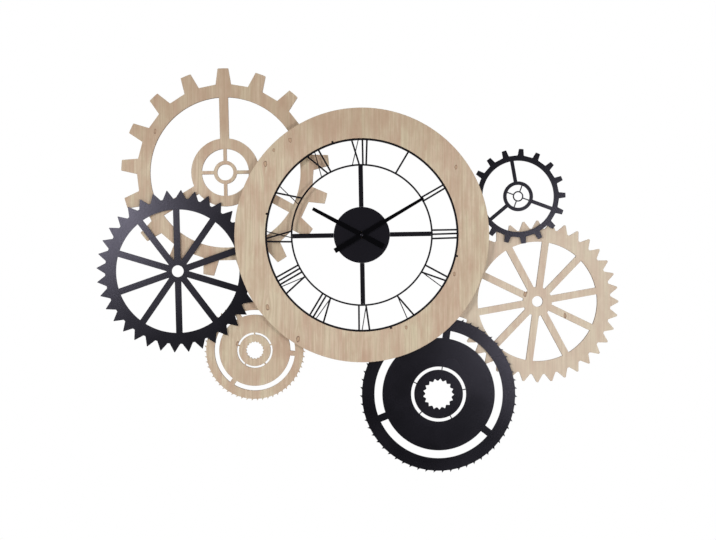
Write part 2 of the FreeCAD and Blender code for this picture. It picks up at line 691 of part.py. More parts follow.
# The centre disc carries the movement: a threaded bush passes through it, with a rubber gasket
# behind and a washer and a hexagon nut in front.
set_sizes(
    ("gasket_thickness", 1.0),
    ("gasket_side", 20.0),
    ("case_side", 56.0),
    ("case_depth", 16.5),
    ("case_wall", 1.5),
    ("bush_radius", 4.0),
    ("bush_length", 9.0),
    ("washer_radius", 7.0),
    ("washer_thickness", 0.5),
    ("nut_width", 11.0),
    ("nut_height", 2.5),
    ("thread_gap", 0.05),
    ("hour_pipe_radius", 2.55),
    ("arbor_radius", 1.5),
)
case_front = f"({strip_lift} - gasket_thickness)"
case_back = f"({case_front} - case_depth)"
case_inside_front = f"({case_front} - case_wall)"
inner_half = "(case_side / 2 - case_wall)"
bush_front = f"({case_inside_front} + bush_length)"

centre_disc = new_piece("centre_disc", lift=strip_lift)
hoop(centre_disc, "sheet", "disc_radius", "bush_radius + fit_gap", "strip_thickness")
gasket = new_piece("movement_gasket", lift=case_front)
rubber = draw(gasket, "rubber")
rectangle(rubber, "-gasket_side / 2", "gasket_side / 2", "-gasket_side / 2", "gasket_side / 2")
circle(rubber, "bush_radius + fit_gap")
pad(gasket, rubber, "gasket_thickness")
bush = new_piece("threaded_bush", lift=case_inside_front)
hoop(bush, "tube", "bush_radius", "hour_pipe_radius + running_gap", "bush_length")
washer = new_piece("washer", lift=strip_front)
hoop(washer, "ring", "washer_radius", "bush_radius + fit_gap", "washer_thickness")
nut = new_piece("hex_nut", lift=f"{strip_front} + washer_thickness")
flats = draw(nut, "flats")
regular_outline(flats, SCREW_SIDES, "nut_width")
circle(flats, "bush_radius + thread_gap")
pad(nut, flats, "nut_height")


# The motion work: the minute arbor's pinion turns the reduction wheel, whose own pinion turns the
# hour wheel twelve times slower. The setting knob's pinion meshes with the reduction wheel.
set_sizes(
    ("train_centres", 11.0),
    ("train_turn", 60.0),
    ("minute_pinion_teeth", 8),
    ("reduction_wheel_teeth", 24),
    ("reduction_pinion_teeth", 6),
    ("hour_wheel_teeth", 24),
    ("setting_pinion_teeth", 8),
    ("setting_turn", 90.0),
    ("wheel_thickness", 1.2),
    ("minute_pinion_length", 2.0),
    ("reduction_pinion_length", 2.4),
    ("setting_pinion_length", 1.6),
    ("stud_radius", 0.8),
)
ADDENDUM_SHARE, DEDENDUM_SHARE = 0.75, 1.05
TOOTH_BASE_SHARE, TOOTH_TIP_SHARE = 0.5, 0.2
WHEEL_NOTCH_OVERRUN_SHARE = 0.5
first_module = "(2 * train_centres / (minute_pinion_teeth + reduction_wheel_teeth))"
second_module = "(2 * train_centres / (reduction_pinion_teeth + hour_wheel_teeth))"
reduction_x = "train_centres * cos(train_turn)"
reduction_y = "train_centres * sin(train_turn)"
setting_centres = f"({first_module} * (setting_pinion_teeth + reduction_wheel_teeth) / 2)"
setting_x = f"({reduction_x} + {setting_centres} * cos(setting_turn))"
setting_y = f"({reduction_y} + {setting_centres} * sin(setting_turn))"


def add_toothed_wheel(body, name, module, teeth, lift, length, turn, bore=None):
    """A small gear with straight-sided teeth, one of them pointing along the turn."""
    root = f"({module} * {teeth} / 2 - {module} * {DEDENDUM_SHARE})"
    tip = f"({module} * {teeth} / 2 + {module} * {ADDENDUM_SHARE})"
    half = f"(180 / {teeth})"
    wheel = draw(body, name, lift=lift)
    circle(wheel, tip)
    if bore:
        circle(wheel, bore)
    pad(body, wheel, length)
    root_x, root_y = beside_line(root, f"({module} * pi * {TOOTH_BASE_SHARE})", f"-{half}")
    tip_x, tip_y = beside_line(tip, f"({module} * pi * {TOOTH_TIP_SHARE})", f"-{half}")
    out_x = f"({tip_x} + (({tip_x}) - ({root_x})) * {WHEEL_NOTCH_OVERRUN_SHARE})"
    out_y = f"({tip_y} + (({tip_y}) - ({root_y})) * {WHEEL_NOTCH_OVERRUN_SHARE})"
    notch = draw(body, f"{name}_notch", lift=lift, turn=degrees(f"{turn} + {half}"))
    outline(notch, [(root_x, root_y), (out_x, out_y), (out_x, f"-{out_y}"), (root_x, f"-({root_y})")])
    repeat_round(body, cut(body, notch, length), notch, teeth)


# Heights of the motion work, counted forward from the drive unit's front to the case's inside.
set_sizes(
    ("drive_unit_gap", 4.6),
    ("minute_pinion_gap", 0.4),
    ("reduction_wheel_gap", 0.8),
    ("hour_wheel_gap", 0.4),
    ("setting_pinion_gap", 0.6),
    ("minute_hand_seat_step", 0.2),
    ("minute_seat_radius", 1.3),
    ("hand_thickness", 1.0),
    ("hand_gap", 1.0),
    ("arbor_foot", 7.4),
)
drive_front = f"({case_inside_front} - drive_unit_gap)"
minute_pinion_lift = f"({drive_front} + minute_pinion_gap)"
reduction_lift = f"({drive_front} + reduction_wheel_gap)"
hour_wheel_lift = f"({case_inside_front} - hour_wheel_gap - wheel_thickness)"
setting_pinion_lift = f"({drive_front} + setting_pinion_gap)"
hour_hand_lift = f"({bush_front} + hand_gap)"
minute_hand_lift = f"({hour_hand_lift} + hand_thickness + hand_gap)"
minute_hand_front = f"({minute_hand_lift} + hand_thickness)"

arbor = new_piece("minute_arbor")
rod = draw(arbor, "rod", lift=f"{drive_front} - arbor_foot")
circle(rod, "arbor_radius")
pad(arbor, rod, f"{minute_hand_lift} - minute_hand_seat_step - ({drive_front} - arbor_foot)")
seat = draw(arbor, "hand_seat", lift=f"{minute_hand_lift} - minute_hand_seat_step")
circle(seat, "minute_seat_radius")
pad(arbor, seat, "minute_hand_seat_step + hand_thickness")
add_toothed_wheel(arbor, "pinion", first_module, "minute_pinion_teeth", minute_pinion_lift,
                  "minute_pinion_length", "train_turn")

reduction = new_piece("reduction_wheel", reduction_x, reduction_y)
half_pitch = "180 / reduction_wheel_teeth"
add_toothed_wheel(reduction, "wheel", first_module, "reduction_wheel_teeth", reduction_lift,
                  "wheel_thickness", f"train_turn + 180 + {half_pitch}", "stud_radius + running_gap")
add_toothed_wheel(reduction, "pinion", second_module, "reduction_pinion_teeth",
                  f"{reduction_lift} + wheel_thickness", "reduction_pinion_length",
                  "train_turn + 180", "stud_radius + running_gap")

hour_wheel = new_piece("hour_wheel")
add_toothed_wheel(hour_wheel, "wheel", second_module, "hour_wheel_teeth", hour_wheel_lift,
                  "wheel_thickness", "train_turn + 180 / hour_wheel_teeth", "arbor_radius + running_gap")
pipe = draw(hour_wheel, "pipe", lift=hour_wheel_lift)
circle(pipe, "hour_pipe_radius")
circle(pipe, "arbor_radius + running_gap")
pad(hour_wheel, pipe, f"{hour_hand_lift} + hand_thickness + fit_gap - {hour_wheel_lift}")


# The hands are flat blackened steel, tapered from tail to tip, each pressed onto its own seat.
set_sizes(
    ("minute_hand_length", 169.0),
    ("minute_hand_tail", 74.0),
    ("minute_hand_tip_width", 7.0),
    ("minute_hand_tail_width", 11.8),
    ("minute_hand_direction", 30.8),
    ("hour_hand_length", 131.0),
    ("hour_hand_tail", 58.0),
    ("hour_hand_tip_width", 8.0),
    ("hour_hand_tail_width", 13.0),
    ("hour_hand_direction", 151.9),
    ("cap_radius", 4.0),
    ("cap_height", 3.0),
    ("cap_chamfer", 0.9),
)
for hand, seat_radius, lift in (
    ("minute_hand", "minute_seat_radius", minute_hand_lift),
    ("hour_hand", "hour_pipe_radius", hour_hand_lift),
):
    body = new_piece(hand, lift=lift)
    blade = draw(body, "blade", turn=degrees(f"{hand}_direction"))
    outline(blade, [
        (f"-{hand}_tail", f"-{hand}_tail_width / 2"),
        (f"{hand}_length", f"-{hand}_tip_width / 2"),
        (f"{hand}_length", f"{hand}_tip_width / 2"),
        (f"-{hand}_tail", f"{hand}_tail_width / 2"),
    ])
    circle(blade, seat_radius)
    pad(body, blade, "hand_thickness")

cap = new_piece("hand_cap", lift=minute_hand_front)
profile = draw(cap, "profile", plane="XZ_Plane")
outline(profile, [
    ("0", "0"),
    ("cap_radius", "0"),
    ("cap_radius", "cap_height - cap_chamfer"),
    ("cap_radius - cap_chamfer", "cap_height"),
    ("0", "cap_height"),
])
turned = cap.newObject("PartDesign::Revolution", "turned")
turned.Profile = profile
turned.ReferenceAxis = (profile, ["V_Axis"])
turned.Angle = FULL_TURN


# The moulded case is open at the back. A rib parts the battery bay from the works, two corner
# posts carry the cover, and a stud in front carries the reduction wheel.
set_sizes(
    ("battery_radius", 7.25),
    ("battery_length", 49.5),
    ("battery_nub_radius", 2.75),
    ("battery_nub_length", 1.0),
    ("battery_gap", 0.3),
    ("rib_thickness", 1.0),
    ("rib_end_gap", 1.1),
    ("cover_thickness", 1.5),
    ("cover_gap", 0.1),
    ("post_width", 3.0),
)
cover_front = f"({case_back} + cover_thickness)"
battery_y = f"(battery_radius + battery_gap - {inner_half})"
rib_low = f"({battery_y} + battery_radius + battery_gap)"
rib_high = f"({rib_low} + rib_thickness)"
works_depth = f"({case_inside_front} - {cover_front})"

case = new_piece("movement_case")
shell = draw(case, "shell", lift=case_back)
rectangle(shell, "-case_side / 2", "case_side / 2", "-case_side / 2", "case_side / 2")
pad(case, shell, "case_depth")
room = draw(case, "room", lift=case_back)
rectangle(room, f"-{inner_half}", inner_half, f"-{inner_half}", inner_half)
cut(case, room, "case_depth - case_wall")
rib = draw(case, "rib", lift=cover_front)
rectangle(rib, f"rib_end_gap - {inner_half}", f"{inner_half} - rib_end_gap", rib_low, rib_high)
pad(case, rib, works_depth)
for side in (-1, 1):
    post = draw(case, "post", lift=cover_front)
    rectangle(post, f"{side} * ({inner_half} - post_width)", f"{side} * {inner_half}",
              f"{inner_half} - post_width", inner_half)
    pad(case, post, works_depth)
stud = draw(case, "stud", x=reduction_x, y=reduction_y, lift=reduction_lift)
circle(stud, "stud_radius")
pad(case, stud, f"{case_inside_front} - {reduction_lift}")
bush_hole = draw(case, "bush_hole", lift=case_inside_front)
circle(bush_hole, "bush_radius")
cut(case, bush_hole, "case_wall")

set_sizes(("knob_radius", 7.0), ("knob_thickness", 4.3), ("knob_gap", 0.2), ("setting_shaft_radius", 1.5))
cover = new_piece("back_cover", lift=case_back)
lid = draw(cover, "lid")
rectangle(lid, f"cover_gap - {inner_half}", f"{inner_half} - cover_gap", rib_low, f"{inner_half} - cover_gap")
pad(cover, lid, "cover_thickness")
shaft_hole = draw(cover, "shaft_hole", x=setting_x, y=setting_y)
circle(shaft_hole, "setting_shaft_radius + running_gap")
cut(cover, shaft_hole)

KNOB_SIDES = 12
knob = new_piece("setting_knob", setting_x, setting_y)
grip = draw(knob, "grip", lift=f"{case_back} - knob_gap - knob_thickness")
regular_outline(grip, KNOB_SIDES, "2 * knob_radius")
pad(knob, grip, "knob_thickness")
shaft = draw(knob, "shaft", lift=f"{case_back} - knob_gap")
circle(shaft, "setting_shaft_radius")
pad(knob, shaft, f"{setting_pinion_lift} - ({case_back} - knob_gap)")
setting_ratio = "reduction_wheel_teeth / setting_pinion_teeth"
setting_pinion_turn = f"setting_turn + 180 - (train_turn + 180 - setting_turn) * {setting_ratio}"
add_toothed_wheel(knob, "pinion", first_module, "setting_pinion_teeth", setting_pinion_lift,
                  "setting_pinion_length", setting_pinion_turn)


# The sealed drive unit holds the fast wheels and turns the minute arbor in its bearing. The coil
# sits on the stator's leg, and the circuit board lies against the front of the case.
set_sizes(
    ("drive_unit_left", 8.0),
    ("drive_unit_right", 14.0),
    ("drive_unit_top", 17.5),
    ("drive_unit_back_gap", 0.1),
    ("bearing_end_gap", 0.1),
    ("boss_width", 3.2),
    ("boss_gap", 0.1),
    ("coil_radius", 4.4),
    ("coil_length", 16.0),
    ("coil_x", -17.0),
    ("coil_y", 4.0),
    ("coil_lift", 6.0),
    ("core_width", 2.4),
    ("core_thickness", 1.2),
    ("core_gap", 0.1),
    ("arm_width", 2.5),
    ("board_left", 23.4),
    ("board_right", 11.0),
    ("board_top", 25.0),
    ("board_thickness", 1.0),
    ("board_gap", 0.1),
    ("unit_rib_gap", 0.4),
)
drive = new_piece("drive_unit")
drive_back = f"({cover_front} + drive_unit_back_gap)"
block = draw(drive, "block", lift=drive_back)
rectangle(block, "-drive_unit_left", "drive_unit_right", f"{rib_high} + unit_rib_gap", "drive_unit_top")
pad(drive, block, f"{drive_front} - {drive_back}")
bearing_lift = f"({drive_front} - arbor_foot - bearing_end_gap)"
bearing = draw(drive, "bearing", lift=bearing_lift)
circle(bearing, "arbor_radius + running_gap")
cut(drive, bearing, f"{drive_front} - {bearing_lift}")
boss = draw(drive, "boss", x=reduction_x, y=reduction_y, lift=drive_front)
rectangle(boss, "-boss_width / 2", "boss_width / 2", "-boss_width / 2", "boss_width / 2")
pad(drive, boss, "reduction_wheel_gap - boss_gap")

core_lift = f"({cover_front} + coil_lift - core_thickness / 2)"
core_top = "(coil_y + coil_length / 2 + core_gap)"
core_low = "(coil_y - coil_length / 2 - core_gap)"
stator = new_piece("motor_stator")
core = draw(stator, "core", lift=core_lift)
rectangle(core, "coil_x - core_width / 2", "coil_x + core_width / 2",
          f"{core_low} - arm_width", f"{core_top} + arm_width")
pad(stator, core, "core_thickness")
for low, high in ((f"{core_low} - arm_width", core_low), (core_top, f"{core_top} + arm_width")):
    arm = draw(stator, "arm", lift=core_lift)
    rectangle(arm, "coil_x - core_width / 2", "-drive_unit_left", low, high)
    pad(stator, arm, "core_thickness")

COIL_SIDES = 8
coil = new_piece("motor_coil")
winding = draw(coil, "winding", x="coil_x", y=f"{cover_front} + coil_lift",
               lift="-(coil_y + coil_length / 2)", plane="XZ_Plane")
regular_outline(winding, COIL_SIDES, "2 * coil_radius")
rectangle(winding, "-(core_width / 2 + core_gap)", "core_width / 2 + core_gap",
          "-(core_thickness / 2 + core_gap)", "core_thickness / 2 + core_gap")
pad(coil, winding, "coil_length")

circuit = new_piece("circuit_board", lift=f"{case_inside_front} - board_gap - board_thickness")
laminate = draw(circuit, "laminate")
rectangle(laminate, "-board_left", "-board_right", f"{rib_high} + unit_rib_gap", "board_top")
pad(circuit, laminate, "board_thickness")


# The battery lies in its bay between two contact strips and lifts out backwards.
set_sizes(
    ("contact_thickness", 0.4),
    ("contact_wall_gap", 0.1),
    ("contact_width", 8.0),
    ("contact_back_gap", 2.0),
    ("contact_front_gap", 2.0),
    ("contact_strip_top", -5.0),
    ("contact_strip_width", 3.0),
    ("leaf_width", 4.0),
    ("leaf_rise", 0.6),
)
battery_lift = f"({case_inside_front} - battery_radius - battery_gap / 2)"
battery = new_piece("battery")
can = draw(battery, "can", x=battery_y, y=battery_lift,
           lift="-(battery_length + battery_nub_length) / 2", plane="YZ_Plane")
circle(can, "battery_radius")
pad(battery, can, "battery_length")
nub = draw(battery, "nub", x=battery_y, y=battery_lift,
           lift="(battery_length - battery_nub_length) / 2", plane="YZ_Plane")
circle(nub, "battery_nub_radius")
pad(battery, nub, "battery_nub_length")

contacts = new_piece("battery_contacts")
for side in (-1, 1):
    outer = f"{side} * ({inner_half} - contact_wall_gap)"
    inner = f"{side} * ({inner_half} - contact_wall_gap - contact_thickness)"
    blade = draw(contacts, "blade", lift=f"{case_back} + contact_back_gap")
    rectangle(blade, inner, outer, f"{battery_y} - contact_width / 2", f"{battery_y} + contact_width / 2")
    pad(contacts, blade, "case_depth - case_wall - contact_back_gap - contact_front_gap")
    strip = draw(contacts, "strip", lift=f"{case_inside_front} - contact_front_gap - contact_strip_width")
    rectangle(strip, inner, outer, battery_y, "contact_strip_top")
    pad(contacts, strip, "contact_strip_width")
leaf = draw(contacts, "leaf", lift=f"{battery_lift} - leaf_width / 2")
leaf_root = f"contact_wall_gap + contact_thickness - {inner_half}"
rectangle(leaf, leaf_root, f"{leaf_root} + leaf_rise",
          f"{battery_y} - leaf_width / 2", f"{battery_y} + leaf_width / 2")
pad(contacts, leaf, "leaf_width")


# Rebuild, check every feature, and write one file for each piece.
doc.recompute()
for thing in doc.Objects:
    if "Invalid" in thing.State or "Error" in thing.State:
        raise RuntimeError(f"{thing.Label} ({thing.Name}) failed: {thing.State}")
for label, piece in pieces.items():
    if piece.Shape.isNull() or not piece.Shape.isValid() or not piece.Shape.Solids:
        raise RuntimeError(f"{label} has no valid solid")
os.makedirs("parts", exist_ok=True)
for label, piece in pieces.items():
    piece.Shape.exportStep(os.path.join("parts", f"{label}.step"))
print(f"{len(pieces)} pieces written")
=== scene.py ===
import json
import math

import bpy
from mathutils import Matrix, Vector

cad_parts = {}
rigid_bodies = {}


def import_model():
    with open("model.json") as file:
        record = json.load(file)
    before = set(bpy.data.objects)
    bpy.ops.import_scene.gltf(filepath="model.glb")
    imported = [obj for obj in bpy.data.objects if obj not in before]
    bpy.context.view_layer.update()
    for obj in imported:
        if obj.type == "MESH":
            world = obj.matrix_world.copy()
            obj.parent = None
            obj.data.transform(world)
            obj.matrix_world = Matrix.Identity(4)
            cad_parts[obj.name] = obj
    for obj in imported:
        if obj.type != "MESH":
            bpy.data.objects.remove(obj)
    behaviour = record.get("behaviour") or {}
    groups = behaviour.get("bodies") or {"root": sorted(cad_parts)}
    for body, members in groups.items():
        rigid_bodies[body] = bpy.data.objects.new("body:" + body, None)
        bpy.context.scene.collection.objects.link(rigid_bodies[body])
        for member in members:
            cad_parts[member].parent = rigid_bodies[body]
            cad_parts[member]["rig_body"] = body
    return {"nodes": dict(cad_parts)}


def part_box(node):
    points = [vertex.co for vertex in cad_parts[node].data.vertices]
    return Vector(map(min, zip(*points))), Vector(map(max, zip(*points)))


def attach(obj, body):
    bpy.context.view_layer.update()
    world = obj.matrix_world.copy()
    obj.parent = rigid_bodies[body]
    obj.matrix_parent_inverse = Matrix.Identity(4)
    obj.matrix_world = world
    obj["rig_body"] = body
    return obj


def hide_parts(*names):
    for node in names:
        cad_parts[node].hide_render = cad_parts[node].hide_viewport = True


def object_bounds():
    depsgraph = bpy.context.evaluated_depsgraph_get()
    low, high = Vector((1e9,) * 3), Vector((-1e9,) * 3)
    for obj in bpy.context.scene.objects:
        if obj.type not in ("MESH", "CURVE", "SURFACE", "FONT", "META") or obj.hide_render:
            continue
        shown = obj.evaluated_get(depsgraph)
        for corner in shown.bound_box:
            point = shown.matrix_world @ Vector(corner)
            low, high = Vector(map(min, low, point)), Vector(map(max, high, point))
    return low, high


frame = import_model()
cad_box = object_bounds()
nodes = frame["nodes"]
MM = 0.001


# The clock hangs free in a white room and is seen square on from three metres away, a little to the
# left of the dial's centre and below it. Its floor lies well below the picture.
def colour(code):
    """Turn an sRGB hex colour into the linear colour that a shader takes."""
    shares = [int(code[place:place + 2], 16) / 255 for place in (0, 2, 4)]
    linear = [share / 12.92 if share <= 0.04045 else ((share + 0.055) / 1.055) ** 2.4
              for share in shares]
    return (*linear, 1)


def add_node(material, kind, settings=None, links=None, stops=()):
    """Add a node, give its inputs or properties their settings, and link outputs to its inputs."""
    node = material.node_tree.nodes.new(kind)
    for name, value in (settings or {}).items():
        if isinstance(name, int) or name in node.inputs:
            node.inputs[name].default_value = value
        else:
            setattr(node, name, value)
    for name, output in (links or {}).items():
        material.node_tree.links.new(node.inputs[name], output)
    for index, (place, shade) in enumerate(stops):
        ramp = node.color_ramp.elements
        stop = ramp[index] if index < len(ramp) else ramp.new(place)
        stop.position = place
        stop.color = shade
    return node


ring_low, ring_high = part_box("front_ring")
dial_centre = Vector(((ring_low.x + ring_high.x) / 2, ring_low.y, (ring_low.z + ring_high.z) / 2))

QUARTER_TURN = math.radians(90)
CAMERA_FROM_DIAL = Vector((-8.9, -2963.6, -82.6)) * MM
LENS_MM = 63.3
SENSOR_MM = 36
lens = bpy.data.cameras.new("camera")
lens.lens = LENS_MM
lens.sensor_width = SENSOR_MM
camera = bpy.data.objects.new("camera", lens)
camera.location = dial_centre + CAMERA_FROM_DIAL
camera.rotation_euler = (QUARTER_TURN, 0, 0)
bpy.context.scene.collection.objects.link(camera)
bpy.context.scene.camera = camera
bpy.context.scene.view_settings.view_transform = "Standard"


def hang_lamp(name, from_dial_mm, size_mm, watts):
    """A square soft box that faces the dial."""
    lamp = bpy.data.lights.new(name, "AREA")
    lamp.size = size_mm * MM
    lamp.energy = watts
    box = bpy.data.objects.new(name, lamp)
    box.location = dial_centre + Vector(from_dial_mm) * MM
    box.rotation_euler = (dial_centre - box.location).to_track_quat("-Z", "Y").to_euler()
    bpy.context.scene.collection.objects.link(box)


hang_lamp("key_lamp", from_dial_mm=(-1230, -2300, 260), size_mm=520, watts=20)
hang_lamp("fill_lamp", from_dial_mm=(960, -2200, -250), size_mm=460, watts=15)
hang_lamp("back_lamp", from_dial_mm=(900, 2300, 900), size_mm=1500, watts=22)

# The backdrop is white wherever it is seen or mirrored; the room behind the camera is dim.
WHITE = (1, 1, 1, 1)
ROOM_LIGHT = 0.5
DIM_ROOM = 0.07
HALVES_BLEND = 0.1
room = bpy.data.worlds.new("white_room")
room.use_nodes = True
room.node_tree.nodes.clear()
rays = add_node(room, "ShaderNodeLightPath")
way = add_node(room, "ShaderNodeTexCoord").outputs["Generated"]
way = add_node(room, "ShaderNodeSeparateXYZ", links={0: way})
mirrored = add_node(room, "ShaderNodeMapRange",
                    {"From Min": -HALVES_BLEND, "From Max": HALVES_BLEND, "To Min": DIM_ROOM},
                    {"Value": way.outputs["Y"]})
mirrors = add_node(room, "ShaderNodeMath", {"operation": "MAXIMUM"},
                   {0: rays.outputs["Is Glossy Ray"], 1: rays.outputs["Is Transmission Ray"]})
strength = add_node(room, "ShaderNodeMix", {2: ROOM_LIGHT},
                    {0: mirrors.outputs[0], 3: mirrored.outputs[0]})
strength = add_node(room, "ShaderNodeMix", {3: 1.0},
                    {0: rays.outputs["Is Camera Ray"], 2: strength.outputs[0]})
sky = add_node(room, "ShaderNodeBackground", {"Color": WHITE}, {"Strength": strength.outputs[0]})
add_node(room, "ShaderNodeOutputWorld", links={"Surface": sky.outputs[0]})
bpy.context.scene.world = room

FLOOR_DROP = 700 * MM
FLOOR_SIDE = 4400 * MM
FLOOR_PAINT, FLOOR_GLOW = "EDECEA", "F2F1EF"
FLOOR_GLOW_SHARE = 0.75
bpy.ops.object.select_all(action="DESELECT")
bpy.ops.mesh.primitive_plane_add(size=FLOOR_SIDE, location=(0, 0, cad_box[0].z - FLOOR_DROP))
floor = bpy.context.object
floor.name = "floor"
paint = bpy.data.materials.new("pale floor paint")
paint.use_nodes = True
paint.node_tree.nodes.clear()
dull = add_node(paint, "ShaderNodeBsdfDiffuse", {"Color": colour(FLOOR_PAINT)})
glow = add_node(paint, "ShaderNodeEmission", {"Color": colour(FLOOR_GLOW)})
rays = add_node(paint, "ShaderNodeLightPath")
pale_share = add_node(paint, "ShaderNodeMath", {"operation": "MULTIPLY", 1: FLOOR_GLOW_SHARE},
                      {0: rays.outputs["Is Camera Ray"]})
skin = add_node(paint, "ShaderNodeMixShader",
                links={0: pale_share.outputs[0], 1: dull.outputs[0], 2: glow.outputs[0]})
add_node(paint, "ShaderNodeOutputMaterial", links={"Surface": skin.outputs[0]})
floor.data.materials.append(paint)


# The ring and the three pale gears are cut by laser from edge-glued fir panels. The faces are limed,
# which leaves the grain chalky and grey-beige with small dark knots. Towards the top of the clock
# their colour is darkened with painted shade. The beam leaves the cut edges scorched brown.
def new_material(name, settings):
    """Start a material with the constants of its surface, and return it with its shader."""
    material = bpy.data.materials.new(name)
    material.use_nodes = True
    surface = material.node_tree.nodes["Principled BSDF"]
    for socket, value in settings.items():
        surface.inputs[socket].default_value = value
    return material, surface


def connect(material, surface, shade, roughness, relief):
    """Lead a material's colour, roughness and relief to its shader."""
    material.node_tree.links.new(surface.inputs["Base Color"], shade)
    material.node_tree.links.new(surface.inputs["Roughness"], roughness.outputs[0])
    material.node_tree.links.new(surface.inputs["Normal"], relief.outputs["Normal"])


WELD = 0.001 * MM
COPLANAR = math.radians(0.5)
SHARP = math.radians(30)
SMOOTH = math.radians(25)


def dressed_copy(name):
    """A welded copy of a node that stands for it, and is alone selected for what follows."""
    piece = bpy.data.objects.new("dressed_" + name, nodes[name].data.copy())
    bpy.context.scene.collection.objects.link(piece)
    bpy.ops.object.select_all(action="DESELECT")
    piece.select_set(True)
    bpy.context.view_layer.objects.active = piece
    bpy.ops.object.mode_set(mode="EDIT")
    bpy.ops.mesh.select_all(action="SELECT")
    bpy.ops.mesh.remove_doubles(threshold=WELD)
    bpy.ops.mesh.dissolve_limited(angle_limit=COPLANAR)
    bpy.ops.object.mode_set(mode="OBJECT")
    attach(piece, nodes[name]["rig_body"])
    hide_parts(name)
    return piece


def break_edges(piece, width_mm, segments=1):
    """Chamfer or round a selected piece's edges. Loop slide is off, as it folds large flat faces."""
    bevel = piece.modifiers.new("broken_edges", "BEVEL")
    bevel.limit_method = "ANGLE"
    bevel.angle_limit = SHARP
    bevel.width = width_mm * MM
    bevel.segments = segments
    bevel.use_clamp_overlap = False
    bevel.loop_slide = False
    bpy.ops.object.modifier_apply(modifier=bevel.name)
    bpy.ops.object.shade_smooth_by_angle(angle=SMOOTH)


def dress(material, *names, edge_mm=0):
    """Give nodes a material, and where an edge width is given, dressed copies with broken edges."""
    for name in names:
        nodes[name].material_slots[0].material = material
        if edge_mm:
            piece = dressed_copy(name)
            break_edges(piece, edge_mm)
            piece.material_slots[0].material = material


SANDED_EDGE_MM = 0.5
STAVE_WIDTH = 46 * MM
GRAIN_WIDTH = 3.2 * MM
GRAIN_LENGTH = 90 * MM
YEAR_RING_WIDTH = 11 * MM
YEAR_RING_STRETCH = 0.06
# A wave texture of scale 1 repeats after this length.
WAVE_PERIOD = math.pi / 10
CLOUD_WIDTH, CLOUD_LENGTH = 33.333 * MM, 76.923 * MM
STREAK_WIDTH, STREAK_LENGTH = 14.286 * MM, 142.86 * MM
CHAR_WIDTH, CHAR_DEPTH = 2.5 * MM, 16.667 * MM
STAVE_SHIFT = 3.0
FIR_PALE, FIR_DARK = "DCCEB7", "B9A991"
FIR_PINK, FIR_GREEN = "BD9C87", "CCC1A2"
FIR_YEAR_LINE = "AC9A80"
FIR_RUST = "B99A84"
LIME_WASH = "EADFD0"
SCORCHED_EDGE, SCORCHED_DARK = "8A6A50", "5E4434"
KNOT_RIM, KNOT_DARK, KNOT_HEART = "A37C66", "5C4236", "B5977C"
KNOT_WOBBLE = 7 * MM
KNOT_TALLNESS = 0.55
KNOT_CORE_SHARE = 0.25
SWELL_REACH, SWELL_PUSH = 4.5, 1.6
NOISE_MIDDLE = (0.5, 0.5, 0.5)
TOP_PAINTED_SHADE = "9F8468"
TOP_SHADE_STARTS, TOP_SHADE_FULL, TOP_SHADE_SHARE = 150 * MM, 290 * MM, 0.3


